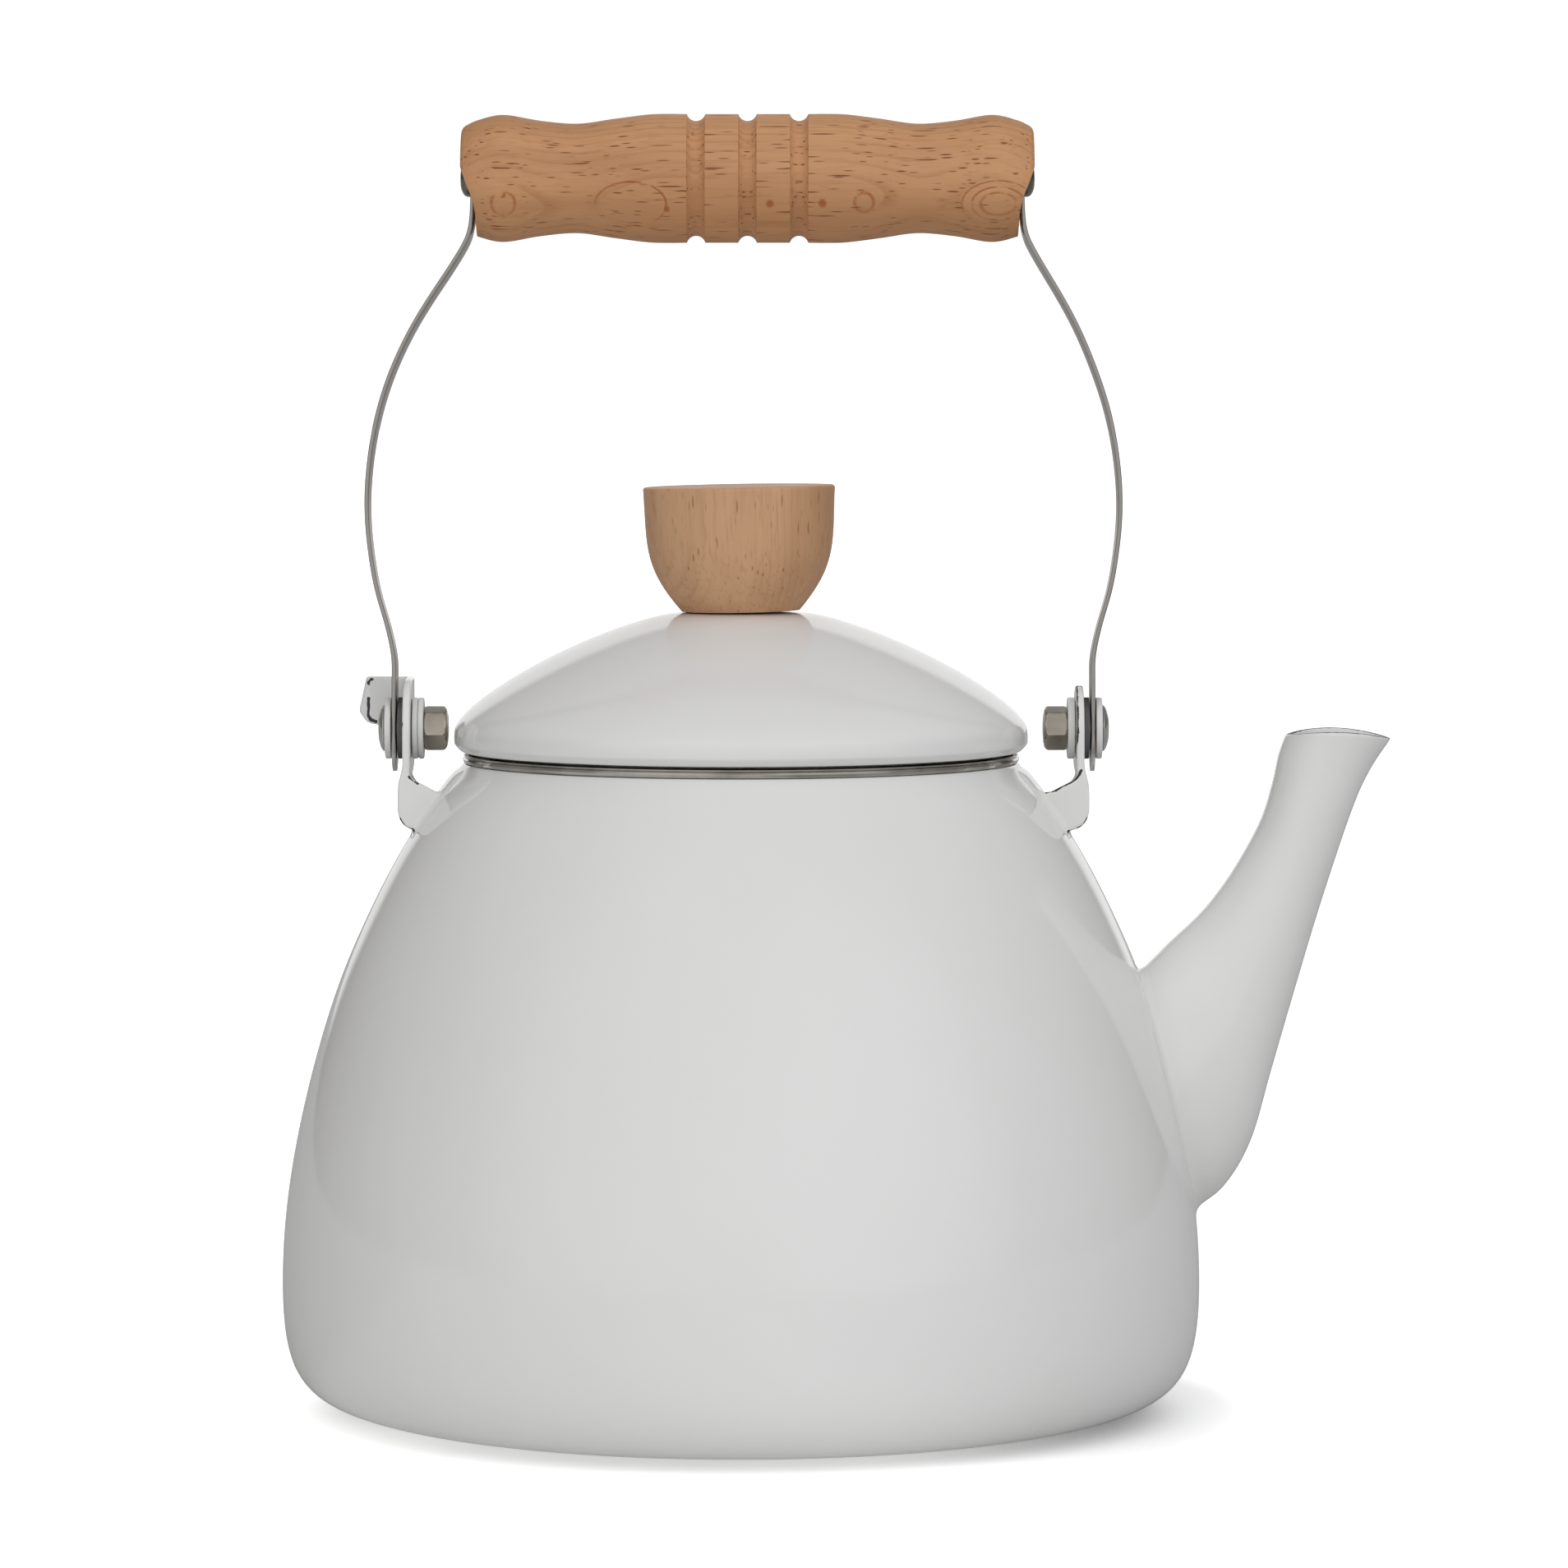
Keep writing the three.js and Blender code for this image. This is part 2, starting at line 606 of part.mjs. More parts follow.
for (const side of [-1, 1]) {
  const prefix = side < 0 ? 'left' : 'right';
  const facing = (body) => (side < 0 ? body.mirror([1, 0, 0]) : body);
  const atPivot = (body) => facing(body).translate(HANDLE_OFFSET, 0, PIVOT_Z);
  const onBail = (body) => facing(body).translate(0, 0, -PIVOT_Z);
  const atGrip = (body) => facing(body).translate(...GRIP_PLACE);

  const pressing = facing(lug(side < 0)).translate(HANDLE_OFFSET, 0, 0);
  place(prefix + '_lug', pressing.subtract(cutter), WHITE_ENAMEL());

  let innerX = STACK_START_X;
  INNER_WASHERS[prefix].forEach((thick, i) => {
    place(prefix + '_inner_washer_' + (i + 1), atPivot(washerX(innerX - thick, innerX)), WHITE_NYLON());
    innerX -= thick + WASHER_SPACE;
  });
  const nutX = innerX - WASHER_SPACE - NUT_LENGTH;
  place(prefix + '_cap_nut', atPivot(capNut(nutX)), NICKEL());
  place(prefix + '_pivot_bolt', atPivot(pivotBolt(nutX)), BRIGHT_STEEL());
  place(prefix + '_friction_washer', atPivot(washerX(...FRICTION_WASHER_X)), DARK_FIBRE());
  place(prefix + '_outer_washer', atPivot(washerX(...OUTER_WASHER_X)), WHITE_NYLON());

  place(prefix + '_strap', onBail(strap(side)), STRAP_STEEL(), bail);
  place(prefix + '_grip_cap', atGrip(gripCap()), NICKEL(), bail);
}

place('grip', grip().translate(...GRIP_PLACE), BEECH(), bail);
place('grip_rod', gripRod().translate(...GRIP_PLACE), BRIGHT_STEEL(), bail);

export default kettle;
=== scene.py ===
"""Stovetop kettle: the visible surfaces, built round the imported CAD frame.

Outlines are in millimetres in the part's frame (+Z up, spout towards +X) and become metres
when a mesh is made. Every piece but the spout's weld stands for one CAD node and rides on that
node's body.
"""

import json
import math

import bmesh
import bpy
import numpy as np
from mathutils import Matrix, Vector


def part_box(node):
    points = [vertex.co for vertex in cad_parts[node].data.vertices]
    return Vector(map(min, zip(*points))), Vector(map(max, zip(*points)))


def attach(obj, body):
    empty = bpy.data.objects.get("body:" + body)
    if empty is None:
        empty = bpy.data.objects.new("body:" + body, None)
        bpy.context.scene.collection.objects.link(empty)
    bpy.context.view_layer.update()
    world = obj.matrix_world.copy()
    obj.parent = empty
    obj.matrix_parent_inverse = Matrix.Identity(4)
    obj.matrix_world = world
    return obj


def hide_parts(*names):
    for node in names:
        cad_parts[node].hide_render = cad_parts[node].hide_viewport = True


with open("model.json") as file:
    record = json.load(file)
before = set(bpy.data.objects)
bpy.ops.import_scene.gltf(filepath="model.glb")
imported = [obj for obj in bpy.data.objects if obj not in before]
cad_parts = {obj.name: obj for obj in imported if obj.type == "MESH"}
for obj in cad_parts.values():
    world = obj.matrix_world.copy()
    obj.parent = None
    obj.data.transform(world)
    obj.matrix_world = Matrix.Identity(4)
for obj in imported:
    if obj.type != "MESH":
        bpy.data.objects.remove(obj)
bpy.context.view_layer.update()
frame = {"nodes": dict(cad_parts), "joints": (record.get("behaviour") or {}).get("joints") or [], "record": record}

MM = 0.001


def low(node):
    """Lowest corner of a CAD node's box, in millimetres."""
    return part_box(node)[0] / MM


def high(node):
    """Highest corner of a CAD node's box, in millimetres."""
    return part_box(node)[1] / MM


def joint(name):
    return next(j for j in frame["joints"] if j["name"] == name)


# ---- sizes, from the frame where it has them ----

BODY_R = -low("body_shell").x
COLLAR_TOP_Z = high("body_shell").z
RING_R = high("rim_ring").x
RING_TOP_Z = high("rim_ring").z
LID_R = high("lid_shell").x
LID_TOP_Z = high("lid_shell").z
LID_EDGE_Z = low("lid_shell").z
KNOB_SEAT_Z = low("lid_knob").z
KNOB_TOP_Z = high("lid_knob").z
KNOB_TOP_R = high("lid_knob").x
PIVOT_Z = joint("handle_swing")["pos_m"][2] / MM
SPOUT_TIP_X = high("spout").x
HANDLE_X = (low("left_outer_washer").x + high("right_outer_washer").x) / 2
GRIP_X = (low("grip_rod").x + high("grip_rod").x) / 2

WALL = 1.2
COLLAR_R = 55.4
SHOULDER_Z = 131.3
LUG_HALF = 10.0
BORE_R = 2.6  # the pivot hole through lug, strap and washers
WASHER_R = 6.25
STRAP_WIDTH = 11.0
STRAP_SHEET = 0.9
STRAP_FOOT_X, STRAP_HEAD_X = 70.8, 55.65  # ends of its middle line, out from the bail's middle
STRAP_FOOT = 8.75  # how far its foot reaches below the pivot
STRAP_HEAD = 5.1  # how far its head reaches above the grip's axis
GRIP_Z = 251.0
GRIP_HALF = 58.0
GRIP_FLOOR = 54.9  # the floor of the slot in each end of the grip, from the grip's middle
BAIL_LEAN = -3.5  # degrees about X: how far back the bail leans on its stop
KNOB_LEAN = -0.9  # degrees about Y, at the knob's seat

TURNED_SIDES = 192  # sides of the large turned pieces


# ---- outlines ----


def bezier(a, b, c, d, steps):
    """A cubic curve from a to d, drawn towards b and c."""
    t = np.linspace(0, 1, steps + 1)[:, None]
    a, b, c, d = (np.array(p, float) for p in (a, b, c, d))
    return (1 - t) ** 3 * a + 3 * (1 - t) ** 2 * t * b + 3 * (1 - t) * t**2 * c + t**3 * d


def spline(points, t):
    """Points of a smooth curve through the given ones, at shares t of its length in knots."""
    p = np.array(points, float)
    p = np.vstack([2 * p[0] - p[1], p, 2 * p[-1] - p[-2]])
    u = np.clip(np.asarray(t, float), 0, 1) * (len(points) - 1)
    i = np.minimum(u.astype(int), len(points) - 2)
    f = (u - i)[:, None]
    p0, p1, p2, p3 = p[i], p[i + 1], p[i + 2], p[i + 3]
    return 0.5 * (
        2 * p1 + (p2 - p0) * f + (2 * p0 - 5 * p1 + 4 * p2 - p3) * f**2 + (3 * p1 - p0 - 3 * p2 + p3) * f**3
    )


def smooth_line(points, steps):
    return spline(points, np.linspace(0, 1, steps + 1))


def relaxed(line, rounds):
    """A line with its kinks eased, its two ends kept."""
    line = np.array(line, float)
    for _ in range(rounds):
        line[1:-1] = (line[:-2] + 2 * line[1:-1] + line[2:]) / 4
    return line


def offset(line, distance):
    """A line moved to the left of its direction."""
    line = np.array(line, float)
    along = np.gradient(line, axis=0)
    along /= np.linalg.norm(along, axis=1)[:, None]
    return line + distance * np.c_[-along[:, 1], along[:, 0]]


def filleted(corners, radius, steps=5, closed=True):
    """A polygon with its corners rounded. One radius serves all corners, or a list gives each."""
    n = len(corners)
    radii = radius if isinstance(radius, (list, tuple)) else [radius] * n
    pts = [np.array(c, float) for c in corners]
    out = []
    for i, (p, r) in enumerate(zip(pts, radii)):
        if r == 0 or (not closed and i in (0, n - 1)):
            out.append(p)
            continue
        a, b = pts[i - 1] - p, pts[(i + 1) % n] - p
        la, lb = np.linalg.norm(a), np.linalg.norm(b)
        a, b = a / la, b / lb
        half = math.acos(np.clip(a @ b, -1, 1)) / 2
        cut = min(r / math.tan(half), 0.49 * la, 0.49 * lb)
        start, end = p + a * cut, p + b * cut
        for k in range(steps + 1):
            t = k / steps
            out.append((1 - t) ** 2 * start + 2 * t * (1 - t) * p + t**2 * end)
    return np.array(out)


# ---- meshes ----


def prism_faces(n):
    """Faces of a prism whose two n-sided ends are stored one after the other."""
    faces = [tuple(range(n)), tuple(range(2 * n - 1, n - 1, -1))]
    return faces + [(j, (j + 1) % n, n + (j + 1) % n, n + j) for j in range(n)]


def mesh_object(name, verts_mm, faces, sharp=32):
    """A welded mesh from points in millimetres, shaded smooth up to the sharp angle in degrees."""
    mesh = bpy.data.meshes.new(name)
    mesh.from_pydata([tuple(v) for v in np.asarray(verts_mm, float) * MM], [], faces)
    welded = bmesh.new()
    welded.from_mesh(mesh)
    bmesh.ops.remove_doubles(welded, verts=welded.verts, dist=1e-6)
    bmesh.ops.recalc_face_normals(welded, faces=welded.faces)
    welded.to_mesh(mesh)
    welded.free()
    mesh.shade_smooth()
    mesh.set_sharp_from_angle(angle=math.radians(sharp))
    obj = bpy.data.objects.new(name, mesh)
    bpy.context.scene.collection.objects.link(obj)
    return obj


def rings_to_faces(rows, columns, wrap_rows, wrap_columns=True):
    """Quads of a grid of points, stored row after row."""
    faces = []
    for i in range(rows if wrap_rows else rows - 1):
        for j in range(columns if wrap_columns else columns - 1):
            a, b = i * columns + j, i * columns + (j + 1) % columns
            c, d = ((i + 1) % rows) * columns + (j + 1) % columns, ((i + 1) % rows) * columns + j
            faces.append((a, b, c, d))
    return faces


def round_angles(sides):
    return np.arange(sides) * 2 * math.pi / sides


def lathe_verts(outline, sides, axis):
    outline = np.asarray(outline, float)
    angle = round_angles(sides)
    r, h = outline[:, 0][:, None], outline[:, 1][:, None] + 0 * angle
    u, v = r * np.cos(angle), r * np.sin(angle)
    if axis == "Z":
        grid = np.stack([u, v, h], axis=2)
    else:
        grid = np.stack([h, u, v], axis=2)
    return grid.reshape(-1, 3)


def lathe(name, outline, sides=96, axis="Z", sharp=32):
    """A closed outline of (radius, height) turned about an axis through the origin."""
    on_axis = abs(outline[0][0]) < 1e-9 and abs(outline[-1][0]) < 1e-9
    verts = lathe_verts(outline, sides, axis)
    faces = rings_to_faces(len(outline), sides, wrap_rows=not on_axis)
    return mesh_object(name, verts, faces, sharp)


def leaning(z, degrees, axis):
    """A turn about a level axis that passes through the kettle's own axis at height z."""
    centre = Matrix.Translation((0, 0, z * MM))
    return centre @ Matrix.Rotation(math.radians(degrees), 4, axis) @ centre.inverted()


def moved(obj, matrix):
    obj.data.transform(matrix)
    obj.data.update()
    return obj


def mirrored(obj):
    """The +X piece turned into the -X one."""
    moved(obj, Matrix.Scale(-1, 4, (1, 0, 0)))
    obj.data.flip_normals()
    return obj


def applied(obj, *kinds):
    """The object with modifiers applied, each given as its kind and its settings."""
    for kind, settings in kinds:
        modifier = obj.modifiers.new(kind, kind)
        for key, value in settings.items():
            setattr(modifier, key, value)
    graph = bpy.context.evaluated_depsgraph_get()
    graph.update()
    mesh = bpy.data.meshes.new_from_object(obj.evaluated_get(graph))
    obj.modifiers.clear()
    old = obj.data
    obj.data = mesh
    bpy.data.meshes.remove(old)
    return obj


def cut_by(obj, tools, sharp=32):
    """The object with the tools' solids taken out of it."""
    for tool in tools:
        applied(obj, ("BOOLEAN", {"object": tool, "operation": "DIFFERENCE", "solver": "EXACT"}))
    for tool in tools:
        bpy.data.objects.remove(tool)
    obj.data.shade_smooth()
    obj.data.set_sharp_from_angle(angle=math.radians(sharp))
    return obj


def points_mm(obj):
    return np.array([v.co for v in obj.data.vertices], float) / MM


def distance_to(co, marks, batch=4000):
    """The distance from each point to the nearest of the marks, a batch of points at a time."""
    parts = [co[start:start + batch] for start in range(0, len(co), batch)]
    return np.concatenate([np.linalg.norm(part[:, None] - marks[None], axis=2).min(axis=1) for part in parts])


def vertex_weights(obj, name, function):
    """Stores function(points in mm) for every vertex as a named attribute for the material."""
    attribute = obj.data.attributes.new(name, "FLOAT", "POINT")
    attribute.data.foreach_set("value", function(points_mm(obj)).astype(np.float32))


def finish_piece(obj, node, material):
    """Gives a piece its material, and lets it stand for a CAD node on that node's body."""
    body = next(b for b, nodes in frame["record"]["behaviour"]["bodies"].items() if node in nodes)
    obj.data.materials.clear()
    obj.data.materials.append(material)
    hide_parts(node)
    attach(obj, body)


# ---- materials ----


class Nodes:
    """A material's node tree, with short calls for the nodes used here."""

    def __init__(self, name):
        self.material = bpy.data.materials.new(name)
        self.material.use_nodes = True
        self.tree = self.material.node_tree
        self.shader = self.tree.nodes["Principled BSDF"]

    def add(self, kind, inputs=None, **settings):
        node = self.tree.nodes.new(kind)
        for key, value in settings.items():
            setattr(node, key, value)
        for key, value in (inputs or {}).items():
            self.feed(node.inputs[key], value)
        return node

    def feed(self, socket, value):
        if isinstance(value, bpy.types.NodeSocket):
            self.tree.links.new(value, socket)
        elif isinstance(value, bpy.types.Node):
            self.tree.links.new(value.outputs[0], socket)
        else:
            socket.default_value = value

    def set(self, **inputs):
        for key, value in inputs.items():
            self.feed(self.shader.inputs[key.replace("_", " ")], value)

    def math(self, operation, a, b=0.0):
        return self.add("ShaderNodeMath", {0: a, 1: b}, operation=operation)

    def times(self, a, b):
        return self.math("MULTIPLY", a, b)

    def mix(self, factor, a, b):
        node = self.add("ShaderNodeMix", data_type="RGBA")
        self.feed(node.inputs[0], factor)
        self.feed(node.inputs[6], a)
        self.feed(node.inputs[7], b)
        return node.outputs[2]

    def place(self):
        """Object coordinates in metres."""
        return self.add("ShaderNodeTexCoord").outputs["Object"]

    def shares(self, vector):
        """The three coordinates of a vector."""
        return self.add("ShaderNodeSeparateXYZ", {0: vector}).outputs

    def dot(self, vector, way):
        return self.add("ShaderNodeVectorMath", {0: vector, 1: way}, operation="DOT_PRODUCT").outputs["Value"]

    def cells(self, vector, scale):
        """The distance from a cell's middle, and a number of each cell's own."""
        found = self.add("ShaderNodeTexVoronoi", {"Vector": vector, "Scale": scale}).outputs
        return found["Distance"], self.add("ShaderNodeSeparateColor", {0: found["Color"]}).outputs[0]

    def stored(self, name):
        """A number stored on the mesh's points."""
        return self.add("ShaderNodeAttribute", attribute_name=name).outputs["Fac"]

    def noise(self, vector, scale, detail=3.0, roughness=0.5):
        inputs = {"Vector": vector, "Scale": scale, "Detail": detail, "Roughness": roughness}
        return self.add("ShaderNodeTexNoise", inputs).outputs["Fac"]

    def ramp(self, value, start, end):
        """0 at start, 1 at end, smooth between. Start may be the larger."""
        node = self.add("ShaderNodeMapRange", {"Value": value, "From Min": start, "From Max": end})
        node.interpolation_type = "SMOOTHSTEP"
        return node.outputs[0]

    def bump(self, height, distance, strength=1.0, normal=None):
        node = self.add("ShaderNodeBump", {"Height": height, "Distance": distance, "Strength": strength})
        if normal is not None:
            self.feed(node.inputs["Normal"], normal)
        return node


def grey(level):
    return (level, level, level, 1)


def enamel_material(name, edges):
    """White vitreous enamel: deep gloss over a faint ripple, with rare dark specks.

    With edges, it is dark and duller where the mesh says that it has run thin.
    """
    n = Nodes(name)
    here = n.place()
    distance, chance = n.cells(here, 42.0)
    speck = n.times(n.ramp(chance, 0.955, 0.965), n.ramp(distance, 0.022, 0.012))
    cloud = n.ramp(n.noise(here, 14.0, 4.0), 0.35, 0.65)
    white = n.mix(cloud, (0.80, 0.80, 0.785, 1), (0.82, 0.82, 0.812, 1))
    colour = n.mix(n.times(speck, 0.75), white, (0.10, 0.09, 0.085, 1))
    if edges:
        ragged = n.math("ADD", n.stored("bare"), n.times(n.noise(here, 900.0, 2.0), 1.1))
        broken = n.ramp(ragged, 0.84, 1.08)
        colour = n.mix(broken, colour, (0.025, 0.024, 0.024, 1))
        n.set(Roughness=n.math("ADD", n.times(broken, 0.3), 0.07))
    else:
        n.set(Roughness=n.math("ADD", n.times(n.noise(here, 30.0), 0.04), 0.05))
    ripple = n.bump(n.noise(here, 55.0, 2.0), 0.00012, 0.5)
    peel = n.bump(n.noise(here, 420.0, 2.0), 0.000012, 0.6, ripple)
    n.set(Base_Color=colour, Normal=peel, IOR=1.5)
    return n.material


def growth_marks(n, coordinates, colour, eyes):
    """Growth rings cut by the turning, as (x, z, radius, line) in mm on the front of a level piece.

    A radius of 0 is a solid spot. The larger rings are wider than they are high.
    """
    x_here, y_here, z_here = n.shares(coordinates)
    front = n.ramp(y_here, -0.001, -0.006)
    patchy = n.ramp(n.noise(coordinates, 420.0, 2.0), 0.30, 0.52)
    for x, z, radius, line in eyes:
        flattening = 1.0 if radius < 3 else 1.6
        strength = 0.75 if radius else 1.0
        across = n.math("SUBTRACT", x_here, x * MM)
        upward = n.times(n.math("SUBTRACT", z_here, z * MM), flattening)
        away = n.math("SQRT", n.math("ADD", n.times(across, across), n.times(upward, upward)))
        off = n.math("ABSOLUTE", n.math("SUBTRACT", away, radius * MM))
        mark = n.times(n.ramp(off, line * MM, 0.35 * line * MM), n.times(front, patchy))
        colour = n.mix(n.times(mark, strength), colour, (0.38, 0.105, 0.026, 1))
    return colour


def beech_material(name, along, ring_normal, seed, tone, rings, flecks, slope, eyes=()):
    """Beech with its grain along one axis: growth layers, fine fibre and short dark flecks.

    The growth layers lie across ring_normal and show with the strength rings. Each of flecks is
    (scale, stretch along the grain, how rare, strength), and slope tilts them off the grain.
    """
    n = Nodes(name)
    coordinates = n.place()

    def stretched(share, turned=0.0):
        scale = {"X": (share, 1, 1), "Z": (1, 1, share)}[along]
        inputs = {"Vector": coordinates, "Scale": scale, "Location": (seed,) * 3, "Rotation": (0, turned, 0)}
        return n.add("ShaderNodeMapping", inputs)

    wander = n.noise(stretched(0.25), 38.0, 2.0)
    layer = n.math("ADD", n.times(n.dot(coordinates, ring_normal), 560.0), n.times(wander, 3.0))
    wave = n.math("FRACT", n.math("ADD", layer, seed))
    ring = n.times(n.ramp(wave, 0.55, 0.95), n.ramp(wave, 1.0, 0.96))
    ring = n.times(ring, n.ramp(n.noise(stretched(0.5), 110.0), 0.38, 0.62))
    pale = tuple(1.12 * c for c in tone) + (1,)
    deep = (0.86 * tone[0], 0.80 * tone[1], 0.74 * tone[2], 1)
    colour = n.mix(n.ramp(n.noise(stretched(0.12), 70.0, 4.0), 0.3, 0.7), pale, deep)
    colour = n.mix(n.times(ring, rings), colour, (0.33, 0.12, 0.035, 1))
    fibre = n.noise(stretched(0.05), 1500.0, 3.0, 0.6)
    colour = n.mix(n.times(n.ramp(fibre, 0.5, 0.72), 0.28), colour, (0.36, 0.17, 0.075, 1))
    for scale, share, rare, strength in flecks:
        distance, chance = n.cells(stretched(share, slope), scale)
        fleck = n.times(n.ramp(chance, rare, rare + 0.1), n.ramp(distance, 0.26, 0.12))
        colour = n.mix(n.times(fleck, strength), colour, (0.23, 0.080, 0.026, 1))
    if eyes:
        colour = growth_marks(n, coordinates, colour, eyes)
    height = n.math("SUBTRACT", n.times(fibre, 0.35), fleck)
    n.set(
        Base_Color=colour,
        Roughness=n.math("ADD", n.times(fibre, 0.22), 0.42),
        Specular_IOR_Level=0.28,
        Normal=n.bump(height, 0.00006, 0.5),
    )
    return n.material


def steel_material(name, colour, roughness, brush, relief=0.5, edge=None):
    """Metal with fine scratches along one way, given as the stretch of each axis.

    With edge, that is the duller colour where the mesh says that the sheet was sheared.
    """
    n = Nodes(name)
    here = n.place()
    lines = n.noise(n.add("ShaderNodeMapping", {"Vector": here, "Scale": brush}), 2600.0, 4.0, 0.65)
    shade = tuple(0.72 * c for c in colour)
    tone = n.mix(n.ramp(n.noise(here, 160.0, 4.0), 0.3, 0.75), (*colour, 1), (*shade, 1))
    gloss = n.math("ADD", n.times(lines, 0.36 * relief), roughness)
    if edge:
        sheared = n.stored("sheared")
        tone = n.mix(sheared, tone, (*edge, 1))
        gloss = n.math("ADD", gloss, n.times(sheared, 0.12))
    n.set(Base_Color=tone, Metallic=1.0, Roughness=gloss, Normal=n.bump(lines, 0.00001, relief))
    return n.material


def nylon_material():
    n = Nodes("white_nylon")
    here = n.place()
    n.set(
        Base_Color=n.mix(n.noise(here, 260.0), (0.70, 0.70, 0.69, 1), (0.79, 0.79, 0.77, 1)),
        Roughness=n.math("ADD", n.times(n.noise(here, 900.0), 0.15), 0.34),
        Subsurface_Weight=0.12,
        Subsurface_Radius=(0.001, 0.001, 0.001),
        Normal=n.bump(n.noise(here, 1400.0), 0.00002, 0.5),
    )
    return n.material


def fibre_material():
    n = Nodes("dark_fibre")
    here = n.place()
    n.set(
        Base_Color=n.mix(n.noise(here, 700.0), (0.085, 0.085, 0.088, 1), (0.13, 0.13, 0.132, 1)),
        Roughness=n.math("ADD", n.times(n.noise(here, 1200.0), 0.2), 0.62),
        Normal=n.bump(n.noise(here, 2200.0, 4.0), 0.00004, 0.7),
    )
    return n.material


# ---- stage ----


def add_camera():
    """The photo's camera: 1.5 m in front, a little above, level with the middle of the picture."""
    middle_x = 8.75
    eye = Vector((middle_x, -1500, 225)) * MM
    aim = Vector((middle_x, 0, 128)) * MM
    data = bpy.data.cameras.new("front_camera")
    data.sensor_width = 36
    data.lens = 169.8
    camera = bpy.data.objects.new("front_camera", data)
    camera.location = eye
    camera.rotation_euler = (aim - eye).to_track_quat("-Z", "Y").to_euler()
    bpy.context.scene.collection.objects.link(camera)
    bpy.context.scene.camera = camera


class World(Nodes):
    """The same calls for the world's node tree."""

    def __init__(self, name):
        self.world = bpy.data.worlds.new(name)
        self.world.use_nodes = True
        self.tree = self.world.node_tree
        self.shader = self.tree.nodes["Background"]


def add_world():
    """A white studio: one broad soft light in front, a lit backdrop behind, dim warm and cool sides.

    Reflections see a darker room with two soft lights in it, and the camera sees plain white.
    """
    w = World("studio")
    bpy.context.scene.world = w.world
    way = w.add("ShaderNodeTexCoord").outputs["Generated"]
    right, back, up = w.shares(way)

    def towards(x, y, z, start, end):
        return w.ramp(w.dot(way, tuple(Vector((x, y, z)).normalized())), start, end)

    light = w.mix(w.ramp(right, -0.8, 0.8), (0.035, 0.030, 0.006, 1), (0.190, 0.192, 0.214, 1))
    light = w.mix(w.ramp(up, 0.3, 0.95), light, grey(0.19))
    light = w.mix(towards(0.17, -0.9, 0.46, 0.20, 0.90), light, (1.29, 1.29, 1.30, 1))
    light = w.mix(w.ramp(back, 0.0, 0.9), light, grey(0.55))
    light = w.mix(towards(0.0, 1.0, 0.12, 0.86, 0.94), light, grey(2.2))
    room = w.mix(w.ramp(up, -0.05, 0.75), (0.16, 0.15, 0.135, 1), grey(0.36))
    room = w.mix(towards(-0.52, -0.85, 0.25, 0.70, 0.98), room, grey(0.85))
    room = w.mix(towards(0.55, -0.83, 0.25, 0.70, 0.98), room, grey(0.85))
    room = w.mix(towards(0.0, 1.0, 0.12, 0.90, 0.94), room, grey(1.0))
    ray = w.add("ShaderNodeLightPath")
    light = w.mix(ray.outputs["Is Glossy Ray"], light, room)
    w.set(Color=w.mix(ray.outputs["Is Camera Ray"], light, grey(1.05)))


def add_floor():
    """White paper, overexposed for the camera so that only the contact shadow shows.

    For every ray but the camera's it glows a little in front of the body: painted bounce light
    on the body's lower part. For the camera, painted light lightens its shadow on the left, and a
    painted shadow darkens it next to the body on the right.
    """
    n = Nodes("floor")
    here = n.place()
    x, y, _ = n.shares(here)
    seen = n.add("ShaderNodeLightPath").outputs["Is Camera Ray"]
    reach = n.add("ShaderNodeVectorMath", {0: here}, operation="LENGTH").outputs["Value"]
    # where the floor glows for other rays than the camera's: painted bounce light on the body
    ahead = n.times(n.ramp(x, 0.11, 0.02), n.ramp(y, 0.02, -0.04))
    # painted light: the floor's shadow is lightened on the left
    left = n.ramp(x, -0.03, -0.12)
    # painted shadow on the floor next to the body on the right
    painted_shadow_right = n.times(n.ramp(x, 0.02, 0.09), n.ramp(reach, 0.109, 0.097))
    lit = n.times(ahead, 0.22)
    shown = n.math("SUBTRACT", n.math("ADD", n.times(left, 0.25), 0.27), n.times(painted_shadow_right, 0.22))
    glow = n.add("ShaderNodeMix", {"Factor": seen, 2: lit, 3: shown}, data_type="FLOAT").outputs[0]
    n.set(
        Base_Color=n.mix(seen, grey(0.55), grey(1.4)),
        Roughness=n.math("ADD", n.times(n.noise(here, 3.0), 0.05), 0.9),
        Specular_IOR_Level=0.0,
        Emission_Color=grey(1),
        Emission_Strength=glow,
    )
    half, level = 12000, -0.3
    verts = [(-half, -half, level), (half, -half, level), (half, half, level), (-half, half, level)]
    floor = mesh_object("floor", verts, [(0, 1, 2, 3)])
    floor.data.materials.append(n.material)


bpy.context.scene.view_settings.view_transform = "Standard"
add_camera()
add_world()
add_floor()


# ---- body ----


